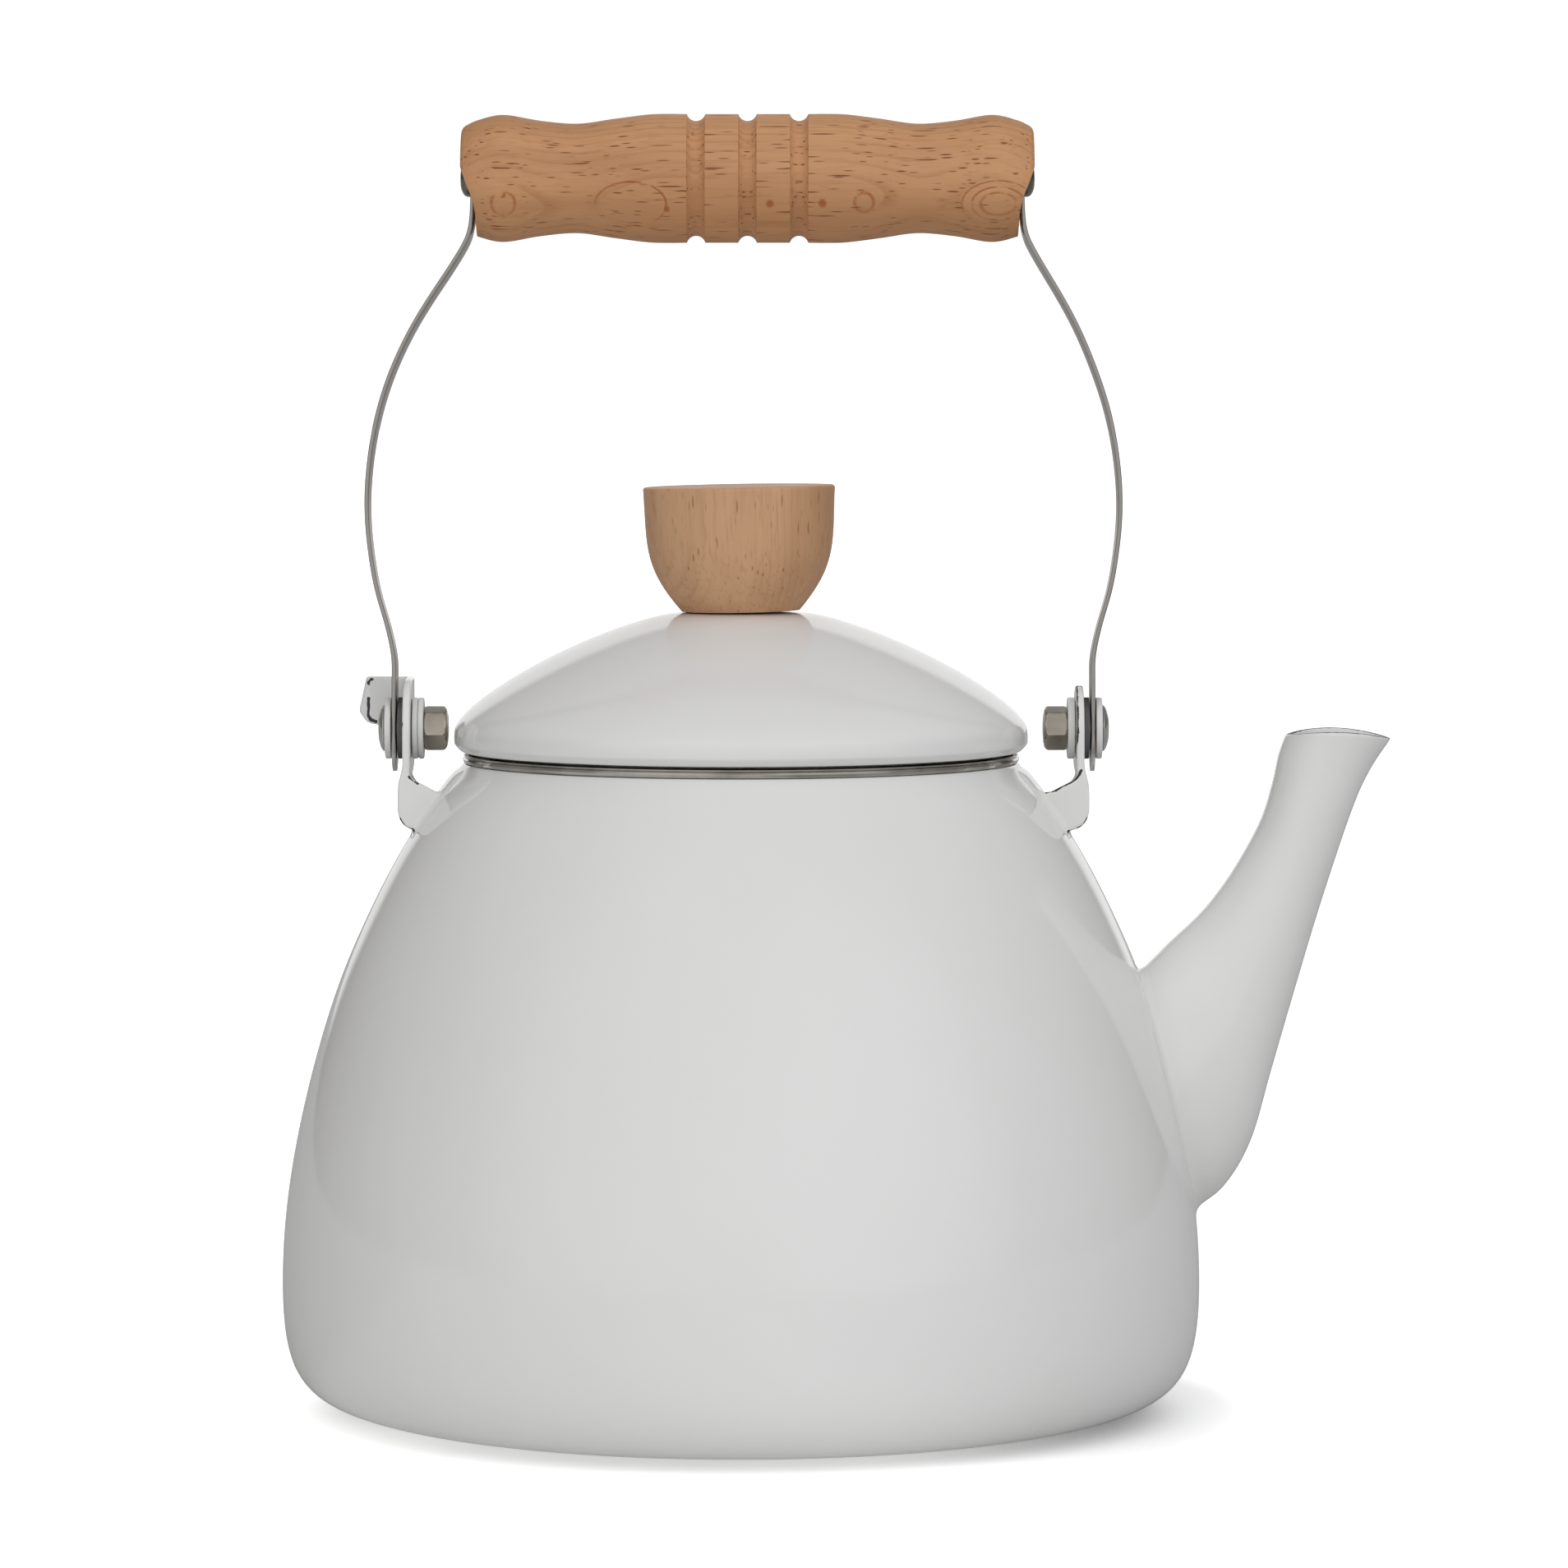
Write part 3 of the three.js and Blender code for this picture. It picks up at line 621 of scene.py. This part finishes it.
def body_outside():
    """(radius, z) of the body's outside, from the middle of the base to the top of the collar."""
    corner = bezier((54, 0), (90.4, 0), (BODY_R, 2.4), (BODY_R, 25), 30)
    side = [
        (BODY_R, 25), (92.4, 43), (88.7, 63.3), (83.1, 83.5), (76.8, 99.4), (67.2, 118.3), (57, SHOULDER_Z),
    ]
    wall = relaxed(np.vstack([corner, smooth_line(side, 66)[1:]]), 40)
    widen = (BODY_R - 0.01) / wall[:, 0].max()
    wall[:, 0] *= np.interp(wall[:, 1], [90, 125], [widen, 1])
    base = [(0.0, 0.0), (20.0, 0.0), (40.0, 0.0)]
    under_ring = [wall[-1], (56.6, 132.05), (56.2, 132.5), (COLLAR_R, 132.55), (COLLAR_R, COLLAR_TOP_Z)]
    collar = filleted(under_ring, 0.3, closed=False)
    return np.vstack([base, wall, collar[1:]])


OUTSIDE = body_outside()
BASE_POINTS, TOP_POINTS = 3, 2  # left out below: the flat base, and the very top of the collar


def body_radius(z):
    """Outer radius of the body at a height."""
    line = OUTSIDE[BASE_POINTS:-TOP_POINTS]
    return np.interp(z, line[:, 1], line[:, 0])


# ---- spout ----

SPOUT_LOWER = [
    (80, 33), (92.6, 41.3), (98.9, 46.5), (104, 55.6), (108.1, 70),
    (112.9, 86.8), (118, 104), (124, 122.2), (127.6, 130.5), (SPOUT_TIP_X - 0.25, 137.1),
]
SPOUT_UPPER = [
    (66, 75), (82.4, 91), (87.3, 95.9), (93.3, 101.6), (98.1, 107.6),
    (102.4, 114.5), (105.9, 121.5), (108, 128.5), (109.2, 134), (110.5, 137.8),
]
ROOT_HALF, NECK_HALF = 16.0, 8.6
CROWN = 1.2  # how much higher the mouth stands at its two sides


def spout_point(t, angle, inset=0.0, rise=0.0):
    """Points of the spout's skin at shares t along it and angles round it, as an (n, 3) array.

    They stand inset towards its middle line and rise further along it, in millimetres.
    """
    t, angle = np.broadcast_arrays(np.asarray(t, float), np.asarray(angle, float))
    lower, upper = spline(SPOUT_LOWER, t), spline(SPOUT_UPPER, t)
    way = (lower + upper) - (spline(SPOUT_LOWER, t - 0.02) + spline(SPOUT_UPPER, t - 0.02))
    way /= np.maximum(np.linalg.norm(way, axis=1), 1e-9)[:, None]
    middle = (lower + upper) / 2
    reach = lower - middle
    full = np.linalg.norm(reach, axis=1)
    reach = reach * ((full - inset) / full * np.cos(angle))[:, None]
    half = ROOT_HALF + (NECK_HALF - ROOT_HALF) * np.sin(t * math.pi / 2) + 0.6 * t**10
    across = (half - inset) * np.sin(angle)
    crown = CROWN * t**8 * np.sin(angle) ** 2
    plane = middle + reach + way * rise
    return np.c_[plane[:, 0], -across, plane[:, 1] + crown]


def meets_body(angle, inset, grow):
    """Share t where the skin crosses the body's surface grown by some millimetres."""
    near, far = np.full(angle.shape, 0.02), np.full(angle.shape, 0.5)
    for _ in range(40):
        middle = (near + far) / 2
        p = spout_point(middle, angle, inset)
        outside = np.hypot(p[:, 0], p[:, 1]) > body_radius(p[:, 2]) + grow
        far = np.where(outside, middle, far)
        near = np.where(outside, near, middle)
    return (near + far) / 2


def build_spout(enamel):
    """Outside from the body to the mouth, round the lip, and back down inside."""
    sides, steps, lip_steps, lip_height = 120, 70, 8, 0.35 * WALL
    angle = round_angles(sides)
    root = meets_body(angle, 0.0, -0.3)
    deep = meets_body(angle, WALL, -0.9)
    rows = [spout_point(root + (1 - root) * share, angle) for share in np.linspace(0, 1, steps + 1)]
    for beta in np.linspace(0, math.pi, lip_steps + 1)[1:-1]:
        rows.append(spout_point(1.0, angle, WALL / 2 * (1 - math.cos(beta)), lip_height * math.sin(beta)))
    rows += [spout_point(1 + (deep - 1) * share, angle, WALL) for share in np.linspace(0, 1, steps // 2 + 1)]
    faces = rings_to_faces(len(rows), sides, wrap_rows=True)
    spout = mesh_object("spout_skin", np.vstack(rows), faces, 50)
    crest = spout_point(1.0, np.linspace(0, 2 * math.pi, 400), WALL / 2, lip_height)
    mouth_z = 134

    def bare(co):
        near = co[:, 2] > mouth_z
        weight = np.zeros(len(co))
        weight[near] = np.clip(1.0 - (distance_to(co[near], crest) - 0.25) / 0.3, 0, 1)
        return weight

    vertex_weights(spout, "bare", bare)
    finish_piece(spout, "spout", enamel)


def build_spout_weld(enamel):
    """The enamel-filled fillet where the spout meets the body."""
    sides, steps, leg = 160, 8, 1.9
    angle = round_angles(sides)
    seam = spout_point(meets_body(angle, 0.0, 0.0), angle)
    on_spout = spout_point(meets_body(angle, 0.0, leg), angle)
    on_body = spout_point(meets_body(angle, -leg, 0.0), angle, -leg)
    rows = []
    for s in np.linspace(0, 1, steps + 1):
        rows.append((1 - s) ** 2 * on_body + 2 * s * (1 - s) * seam + s**2 * on_spout)
    rows.append(seam * (0.988, 0.988, 1.0))
    weld = mesh_object("spout_weld", np.vstack(rows), rings_to_faces(len(rows), sides, wrap_rows=True), 60)
    weld.data.materials.append(enamel)
    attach(weld, "kettle")


def spout_plug():
    """The spout's bore as a solid, to open the body's wall behind it."""
    sides = 64
    rows = [spout_point(t, round_angles(sides), WALL) for t in np.linspace(0.0, 0.6, 24)]
    verts = np.vstack(rows + [rows[0].mean(axis=0)[None], rows[-1].mean(axis=0)[None]])
    faces = rings_to_faces(len(rows), sides, wrap_rows=False)
    first, last = len(verts) - 2, len(verts) - 1
    base = (len(rows) - 1) * sides
    faces += [(first, (j + 1) % sides, j) for j in range(sides)]
    faces += [(last, base + j, base + (j + 1) % sides) for j in range(sides)]
    return mesh_object("spout_plug", verts, faces)


def build_body(enamel):
    inside = offset(OUTSIDE, WALL)[::2]
    inside[0] = (0, WALL)
    inside[-1] = (COLLAR_R - WALL, COLLAR_TOP_Z)
    shell = lathe("body_enamel", np.vstack([OUTSIDE, inside[::-1]]), TURNED_SIDES)
    cut_by(shell, [spout_plug()])
    finish_piece(shell, "body_shell", enamel)


def build_rim_ring(steel):
    """Rolled trim folded over the collar: a fine bead, a groove, a broad bead, and a plain leg inside."""
    top, bottom = RING_TOP_Z, 132.65
    broad = [(55.75, bottom), (56.1, bottom), (RING_R - 0.12, bottom + 0.22), (RING_R, bottom + 0.7)]
    broad += [(RING_R - 0.18, bottom + 1.12), (55.95, bottom + 1.3)]
    fine = [(RING_R - 0.22, bottom + 1.42), (RING_R - 0.12, bottom + 1.62), (55.9, top - 0.16), (55.4, top)]
    outline = filleted(broad + fine + [(54.1, top), (53.3, 133.9)], 0.14, 4, closed=False)
    legs = [(53.3, 129.6), (53.5, 129.4), (53.9, 129.4), (53.9, 133.9), (55.7, 133.9)]
    trim = lathe("rim_trim", np.vstack([outline, legs]), TURNED_SIDES)
    finish_piece(trim, "rim_ring", steel)


# ---- lid ----


def build_lid(enamel):
    dome = bezier((13, LID_TOP_Z), (33.5, 159.1), (LID_R, 144.2), (LID_R, 138.7), 46)
    rim = [dome[-1], (LID_R - 0.05, 136.4), (56.9, LID_EDGE_Z), (55.7, LID_EDGE_Z)]
    edge = filleted(rim, 0.9, 7, closed=False)
    outside = relaxed(np.vstack([[(2.4, LID_TOP_Z), (7, LID_TOP_Z)], dome, edge[1:]]), 6)
    inside = offset(outside, -WALL)[:-4]
    inside[0] = (2.4, LID_TOP_Z - WALL)
    lip = [(55.5, LID_EDGE_Z + 0.6)]
    outline = np.vstack([outside, lip, inside[::-1]])
    finish_piece(lathe("lid_enamel", outline, TURNED_SIDES), "lid_shell", enamel)


def build_lid_flange(enamel):
    outer, inner, bottom, top = 52.3, 51.3, low("lid_flange").z, high("lid_flange").z
    corners = [(outer, bottom), (outer, top - 0.7), (inner, top)]
    corners += [(inner, bottom + 1.6), (50.1, bottom + 0.6), (51.3, bottom)]
    outline = filleted(corners, [0.45, 0.2, 0.2, 0.4, 0.2, 0.3])
    finish_piece(lathe("lid_locating_ring", outline, 160), "lid_flange", enamel)


def build_knob(wood):
    seat, top, radius, dish = KNOB_SEAT_Z, KNOB_TOP_Z, KNOB_TOP_R, KNOB_TOP_Z - 0.05
    cup = bezier((12, seat), (20.0, seat + 9.3), (18.8, seat + 13.7), (radius, top), 40)
    edge = filleted([cup[-4], (radius, dish), (radius - 3, top)], 0.6, 6, closed=False)
    bore = [(0, seat + 14), (2.1, seat + 14), (2.1, seat), (11.6, seat)]
    knob = lathe("knob_wood", np.vstack([bore, cup[:-4], edge, [(8, dish), (0, dish)]]), 128)
    finish_piece(moved(knob, leaning(seat, KNOB_LEAN, "Y")), "lid_knob", wood)


def build_knob_fixings(steel):
    top = high("knob_washer").z
    disc = filleted([(2.2, top - 1), (6, top - 1), (6, top), (2.2, top)], 0.25, 4)
    finish_piece(lathe("knob_washer_disc", disc, 64), "knob_washer", steel)
    start, tip = low("knob_screw").z, high("knob_screw").z
    head = [(0, start), (2.9, start), (3.7, start + 1.3), (3.7, start + 2.2), (2, start + 2.2)]
    shank = [(2, tip - 0.8), (1.2, tip), (0, tip)]
    screw = lathe("knob_machine_screw", np.vstack([filleted(head, 0.5, 5, closed=False), shank]), 48)
    finish_piece(screw, "knob_screw", steel)


# ---- pivots ----


def at_pivot(obj, side):
    """Puts a piece made on +X about the bail's middle onto its own side, at the pivots' height."""
    if side < 0:
        mirrored(obj)
    return moved(obj, Matrix.Translation(Vector((HANDLE_X, 0, PIVOT_Z)) * MM))


def prefix(side):
    return "left_" if side < 0 else "right_"


def span(side, node):
    """Where a pivot piece begins and ends, as distances out from the bail's middle."""
    a, b = low(prefix(side) + node).x - HANDLE_X, high(prefix(side) + node).x - HANDLE_X
    return (a, b) if side > 0 else (-b, -a)


def build_washer(side, node, material, slot, soft):
    """A flat washer whose edges are rounded by soft millimetres."""
    a, b = span(side, node)
    outline = filleted([(BORE_R, a), (WASHER_R, a), (WASHER_R, b), (BORE_R, b)], soft, 5)
    disc = lathe(prefix(side) + node + "_disc", outline, 80, "X")
    finish_piece(at_pivot(disc, side), prefix(side) + node, material)


def build_pivot(side, steel, nickel, nylon, fibre):
    """The dome-headed bolt with its washers and its cap nut."""
    start, tip = span(side, "pivot_bolt")
    head = span(side, "outer_washer")[1] + 0.1
    dome = smooth_line([(4.7, head + 0.3), (4.0, head + 0.75), (2.3, tip - 0.12), (0, tip)], 16)
    shank = [(0, start), (2.2, start), (2.5, start + 0.4), (2.5, head), (4.5, head), (4.7, head + 0.12)]
    bolt = lathe(prefix(side) + "bolt", np.vstack([shank, dome]), 72, "X")
    finish_piece(at_pivot(bolt, side), prefix(side) + "pivot_bolt", steel)

    white, dark = (nylon, "white_nylon", 0.38), (fibre, "dark_fibre", 0.15)
    build_washer(side, "outer_washer", *white)
    build_washer(side, "friction_washer", *dark)
    build_washer(side, "inner_washer_1", *white)
    if side < 0:
        build_washer(side, "inner_washer_2", *white)
    build_cap_nut(side, nickel)


def build_cap_nut(side, nickel):
    """A hexagon whose corners fade into a round chamfer, with a low dome on its closed end."""
    a, b = span(side, "cap_nut")
    flats, bore, sides, turn = 4.0, 0.6, 144, math.radians(15)
    corner = flats / math.cos(math.pi / 6)
    # x, and the radius as a share of the corners' own
    outline = [(a, 0.0), (a + 0.04, 0.35), (a + 0.16, 0.66), (a + 0.36, 0.84), (a + 0.7, 0.95)]
    outline += [(a + 1.1, 1.0), (b - 0.5, 1.0), (b - 0.12, 0.955), (b, 0.9), (b, bore)]
    outline += [(a + 1.3, bore), (a + 1.3, 0.0)]
    rows = []
    for x, share in outline:
        for angle in round_angles(sides):
            wedge = (angle - turn) % (math.pi / 3) - math.pi / 6
            r = min(flats / math.cos(wedge), corner * share) if share > bore else corner * share
            rows.append((x, r * math.cos(angle), r * math.sin(angle)))
    faces = rings_to_faces(len(outline), sides, wrap_rows=False)
    nut = mesh_object(prefix(side) + "nut", rows, faces, 25)
    applied(nut, ("BEVEL", {"width": 0.22 * MM, "segments": 3, "limit_method": "ANGLE", "angle_limit": 0.6}))
    nut.data.shade_smooth()
    nut.data.set_sharp_from_angle(angle=math.radians(30))
    finish_piece(at_pivot(nut, side), prefix(side) + "cap_nut", nickel)


# ---- lugs ----


def shoulder_foot(side):
    """The thin pad on the shoulder that a lug's turned-out edges are welded down with."""
    bottom_z, top_z, half_width = 117.2, 131.6, LUG_HALF + 1.8
    heights = np.linspace(bottom_z, top_z, 18)
    ys = np.linspace(-half_width, half_width, 30)
    verts = []
    for outer in (True, False):
        for z in heights:
            for y in ys:
                edge = min((z - bottom_z) / 2.5, (top_z - z) / 1.2, (half_width - abs(y)) / 2.4, 1.0)
                thick = 0.45 + 0.55 * (z - bottom_z) / (top_z - bottom_z)
                grow = thick * math.sqrt(max(edge, 0)) - 0.1 if outer else -0.8
                r = float(body_radius(z)) + grow
                verts.append((side * math.sqrt(r * r - y * y), y, z))
    n, m = len(heights), len(ys)
    faces = rings_to_faces(n, m, False, False)
    faces += [tuple(i + n * m for i in reversed(f)) for f in faces]
    border = list(range(m)) + [i * m + m - 1 for i in range(1, n)]
    border += [(n - 1) * m + j for j in range(m - 2, -1, -1)] + [i * m for i in range(n - 2, 0, -1)]
    for a, b in zip(border, border[1:] + border[:1]):
        faces.append((a, b, b + n * m, a + n * m))
    return mesh_object("foot", verts, faces)


def bare_lines(side):
    """Where the enamel has run thin or chipped off a lug's edges, as points about the bail's middle."""
    front, inner, outer = -LUG_HALF, 67.4, 68.8
    top_edge = smooth_line([(61.2, 127.0), (63.4, 127.7), (66.9, 129.6), (68.2, 131.4)], 24)
    under_edge = smooth_line([(69.6, 121.7), (68.5, 120.1), (67.0, 119.3), (65.6, 118.9)], 20)

    def upright(line, y):
        return [(x, y, z) for x, z in line]

    def round_ear(x, radius, angles):
        return [(x, front * math.cos(a), PIVOT_Z + radius * math.sin(a)) for a in angles]

    lines = [upright(under_edge, y) for y in (-LUG_HALF, LUG_HALF)]
    lines.append([(66.8, y, 119.2) for y in np.linspace(-LUG_HALF, LUG_HALF, 40)])
    if side > 0:
        lines.append(upright(top_edge, front))
        lines.append(round_ear(inner, 8.7, np.linspace(-0.35, 1.5, 70)))
        lines.append([(x, -1.5, PIVOT_Z + 8.5) for x in np.linspace(inner, outer, 6)])
    else:
        stop_edge, stop_y = 76.8, 9.7
        lines.append(upright(top_edge[13:19], front))
        lines.append(upright([(69.2, z) for z in (131.3, 131.6, 131.9)], front))
        lines.append(round_ear(69.0, 10, (0.1, 0.13, 0.16)))
        lines.append(upright([(stop_edge, z) for z in np.linspace(141.6, 144.9, 12)], stop_y))
        lines.append(upright([(stop_edge, 148.0), (76.6, 148.4), (76.1, 148.8)], stop_y))
        lines.append(upright(smooth_line([(76.7, 141.2), (76.2, 140.5), (75.2, 140.1)], 10), stop_y))
    points = np.array([p for line in lines for p in line], float)
    points[:, 0] = side * points[:, 0] + HANDLE_X
    return points


def build_lug(side, enamel):
    """The pressed lug under its thick enamel: soft edges, melted into the shoulder."""
    source = frame["nodes"][prefix(side) + "lug"].data
    verts = [v.co / MM for v in source.vertices]
    lug = mesh_object(prefix(side) + "ear", verts, [tuple(p.vertices) for p in source.polygons])
    foot = shoulder_foot(side)
    joined = bmesh.new()
    joined.from_mesh(lug.data)
    joined.from_mesh(foot.data)
    joined.to_mesh(lug.data)
    joined.free()
    bpy.data.objects.remove(foot)
    applied(
        lug,
        ("REMESH", {"mode": "VOXEL", "voxel_size": 0.34 * MM, "use_smooth_shade": True}),
        ("SMOOTH", {"factor": 0.6, "iterations": 6}),
    )
    # the stop's free end is turned out a little
    co = points_mm(lug)
    beyond = np.clip(np.abs(co[:, 0] - HANDLE_X) - 76.6, 0, None) * (co[:, 1] > 9)
    co[:, 1] += 0.55 * beyond
    lug.data.vertices.foreach_set("co", (co * MM).ravel())
    lug.data.update()
    marks = bare_lines(side)

    def bare(co):
        return np.clip(1.0 - (distance_to(co, marks) - 0.1) / 0.4, 0, 1)

    vertex_weights(lug, "bare", bare)
    lug.data.shade_smooth()
    finish_piece(lug, prefix(side) + "lug", enamel)


# ---- bail ----

BAIL = leaning(PIVOT_Z, BAIL_LEAN, "X")
AT_GRIP = BAIL @ Matrix.Translation(Vector((GRIP_X, 0, GRIP_Z)) * MM)


def strap_line(side):
    """Middle line of a strap, as distances out from the bail's middle and heights."""
    bow = [
        (STRAP_FOOT_X, 149), (70.9, 154), (72.2, 160.3), (74.9, 170.3), (76.4, 186),
        (74, 203.5), (67.7, 220), (58.9, 234.5), (56.3, 239.8), (STRAP_HEAD_X, 245),
    ]
    foot_end = [(STRAP_FOOT_X, z) for z in np.linspace(PIVOT_Z - STRAP_FOOT, 148.5, 30)]
    head_end = [(STRAP_HEAD_X, z) for z in np.linspace(245.5, GRIP_Z + STRAP_HEAD, 16)]
    line = relaxed(np.vstack([foot_end, smooth_line(bow, 110), head_end]), 12)
    # the grip stands a little further over than the pivots, which the upper bows take up
    drift_from, drift_to = 208, 240
    share = np.clip((line[:, 1] - drift_from) / (drift_to - drift_from), 0, 1)
    line[:, 0] += side * (GRIP_X - HANDLE_X) * share**2 * (3 - 2 * share)
    return line


def strap_half_width(z):
    """Half the strap's width at a height: a round foot, and rounded corners at its head."""
    half, top, corner = STRAP_WIDTH / 2, GRIP_Z + STRAP_HEAD, 3.5
    below = PIVOT_Z - STRAP_FOOT + half - z
    if below > 0:
        return math.sqrt(max(half**2 - below**2, 0.04))
    above = z - (top - corner)
    if above > 0:
        return half - corner + math.sqrt(max(corner**2 - above**2, 0))
    return half


def build_strap(side, steel):
    """A flat band with slightly rounded edges, swept along the strap's line."""
    line = strap_line(side)
    along = np.gradient(line, axis=0)
    along /= np.linalg.norm(along, axis=1)[:, None]
    normal = np.c_[along[:, 1], -along[:, 0]]
    thin, r, arc = STRAP_SHEET / 2, 0.32, 4
    rows = []
    for (x, z), (nx, nz) in zip(line, normal):
        half = strap_half_width(z)
        for sy, sn, start in ((1, 1, 0), (-1, 1, 90), (-1, -1, 180), (1, -1, 270)):
            for k in range(arc + 1):
                a = math.radians(start + 90 * k / arc)
                y = sy * (half - r) + r * math.cos(a)
                d = sn * (thin - r) + r * math.sin(a)
                rows.append((side * (x + nx * d) + HANDLE_X, y, z + nz * d))
    columns = 4 * (arc + 1)
    faces = rings_to_faces(len(line), columns, wrap_rows=False)
    faces += [tuple(range(columns)), tuple(range(len(rows) - columns, len(rows)))]
    strap = mesh_object(prefix(side) + "bail_strap", rows, faces, 40)
    reach = STRAP_WIDTH / 2 - r - 0.05
    vertex_weights(strap, "sheared", lambda co: (np.abs(co[:, 1]) > reach).astype(float))
    finish_piece(moved(strap, BAIL), prefix(side) + "strap", steel)


def grip_outline():
    """(radius, x) from one end of the grip to the other, with three turned grooves."""
    depth, radius, skin, pitch = 1.4, 1.95, 13.04, 10.45
    rise = math.asin((radius - depth) / radius)
    half = []
    # only half of the middle groove, because the outline is mirrored about it
    for centre, first, steps in ((0.0, 0.5, 7), (pitch, 0.0, 13)):
        for share in np.linspace(first, 1, steps):
            a = math.pi + rise + share * (math.pi - 2 * rise)
            half.append((centre + radius * math.cos(a), skin + radius - depth + radius * math.sin(a)))
    swell = [
        (15, 13.09), (20, 12.97), (27, 12.1), (34.5, 11.1),
        (42, 11.7), (49.5, 12.88), (54.6, 11.85), (57.2, 10.7),
    ]
    half += [tuple(p) for p in smooth_line(swell, 60)] + [(57.75, 10.2), (GRIP_HALF, 9.6), (GRIP_HALF, 6.0)]
    left = [(-x, r) for x, r in half[1:]][::-1]
    return [(r, x) for x, r in left + half]


def slot_tool(side):
    """The slot that a strap's head stands in, open at the grip's end and underneath."""
    half, top, corner = 5.9, 5.4, 3.6
    outline = filleted([(-half, -20), (half, -20), (half, top), (-half, top)], [0, 0, corner, corner], 8)
    verts = [(side * x, y, z) for x in (GRIP_FLOOR, 70) for y, z in outline]
    return mesh_object("slot_tool", verts, prism_faces(len(outline)))


def scoop_tool(side):
    """What is scooped from under an end of the grip, so that the strap comes out of it freely."""
    deepest, top = GRIP_FLOOR + 0.05, 3.9
    curve = smooth_line([(58.6, top), (57.8, 1), (56.9, -1.5), (56.1, -3.5), (55.3, -6), (deepest, -8.2)], 24)
    outline = [(deepest, -26), (70, -26), (70, top)] + [tuple(p) for p in curve]
    verts = [(side * x, y, z) for y in (-15, 15) for x, z in outline]
    return mesh_object("scoop_tool", verts, prism_faces(len(outline)))


def build_grip(wood):
    bore, sharp = 2.2, 40
    outline = [(bore, -GRIP_HALF)] + grip_outline() + [(bore, GRIP_HALF)]
    grip = lathe("grip_wood", outline, 120, "X", sharp)
    cut_by(grip, [slot_tool(-1), slot_tool(1), scoop_tool(-1), scoop_tool(1)], sharp)
    finish_piece(moved(grip, AT_GRIP), "grip", wood)


def build_grip_fixings(shaded_nickel, steel):
    """The rod through the grip and the small domed caps on its ends, over the straps' heads."""
    seat, rod_end = STRAP_HEAD_X + STRAP_SHEET / 2 + 0.15, 57.4
    for side in (-1, 1):
        dome = smooth_line([(3.75, seat + 0.6), (3.35, seat + 1.3), (2, seat + 1.93), (0, seat + 2.1)], 14)
        hollow = [(0, rod_end), (2.15, rod_end), (2.15, seat), (3.6, seat), (3.75, seat + 0.15)]
        cap = lathe(prefix(side) + "rod_cap", np.vstack([hollow, dome]), 56, "X")
        if side < 0:
            mirrored(cap)
        # the caps' darker copy of the nickel plate is painted shade: they sit in the slots at the grip's ends
        finish_piece(moved(cap, AT_GRIP), prefix(side) + "grip_cap", shaded_nickel)
    half = 57
    rod = filleted([(0, -half), (2, -half), (2, half), (0, half)], [0, 0.4, 0.4, 0], 3)
    rod = lathe("grip_tie_rod", rod, 32, "X")
    finish_piece(moved(rod, AT_GRIP), "grip_rod", steel)


# ---- assembly ----

# growth marks on the front of the grip: x, z, radius and line, in mm
GRIP_EYES = (
    (-47.9, 245.6, 2.4, 0.45), (-47.9, 247.3, 0.0, 0.9), (-47.9, 243.2, 0.0, 1.1),
    (-22.2, 245.4, 7.2, 0.4), (-14.8, 244.4, 0.0, 0.9), (5.9, 245.5, 0.0, 1.1),
    (16.5, 245.6, 0.0, 1.2), (24.9, 245.8, 1.9, 0.5), (40.6, 245.6, 0.0, 1.3),
    (52.0, 245.5, 3.6, 0.5), (52.0, 245.5, 5.4, 0.4), (52.0, 245.5, 7.4, 0.35),
)

enamel = enamel_material("white_enamel", edges=False)
worn_enamel = enamel_material("white_enamel_edged", edges=True)
grip_beech = beech_material(
    "beech_grip", along="X", ring_normal=(0.0, -0.906, -0.423), seed=0.37, tone=(0.58, 0.305, 0.148),
    rings=0.27, flecks=((1150.0, 0.065, 0.34, 1.0), (1500.0, 0.10, 0.45, 0.8)), slope=math.radians(-6),
    eyes=GRIP_EYES,
)
knob_beech = beech_material(
    "beech_knob", along="Z", ring_normal=(0.93, 0.36, 0.05), seed=0.83, tone=(0.60, 0.36, 0.205),
    rings=0.16, flecks=((1000.0, 0.14, 0.62, 0.6), (1500.0, 0.16, 0.6, 0.4)), slope=math.radians(3),
)
steel = steel_material("bright_steel", (0.62, 0.61, 0.59), 0.12, (1, 1, 1))
nickel = steel_material("nickel_plate", (0.50, 0.45, 0.38), 0.08, (0.2, 1, 1), relief=0.3)
# a darker copy of the nickel plate: painted shade for the grip's end caps in their slots
shaded_nickel = steel_material("shaded_nickel", (0.23, 0.21, 0.185), 0.16, (0.2, 1, 1), relief=0.3)
ring_steel = steel_material("ring_steel", (0.52, 0.50, 0.46), 0.05, (0.1, 0.1, 1), relief=0.04)
strap_steel = steel_material(
    "strap_steel", (0.62, 0.61, 0.59), 0.10, (1, 1, 0.03), relief=0.4, edge=(0.40, 0.385, 0.36)
)
nylon = nylon_material()
fibre = fibre_material()

build_body(enamel)
build_spout(worn_enamel)
build_spout_weld(enamel)
build_rim_ring(ring_steel)
build_lid(enamel)
build_lid_flange(enamel)
build_knob(knob_beech)
build_knob_fixings(steel)
for side in (-1, 1):
    build_pivot(side, steel, nickel, nylon, fibre)
    build_lug(side, worn_enamel)
    build_strap(side, strap_steel)
build_grip(grip_beech)
build_grip_fixings(shaded_nickel, steel)

bpy.context.view_layer.update()
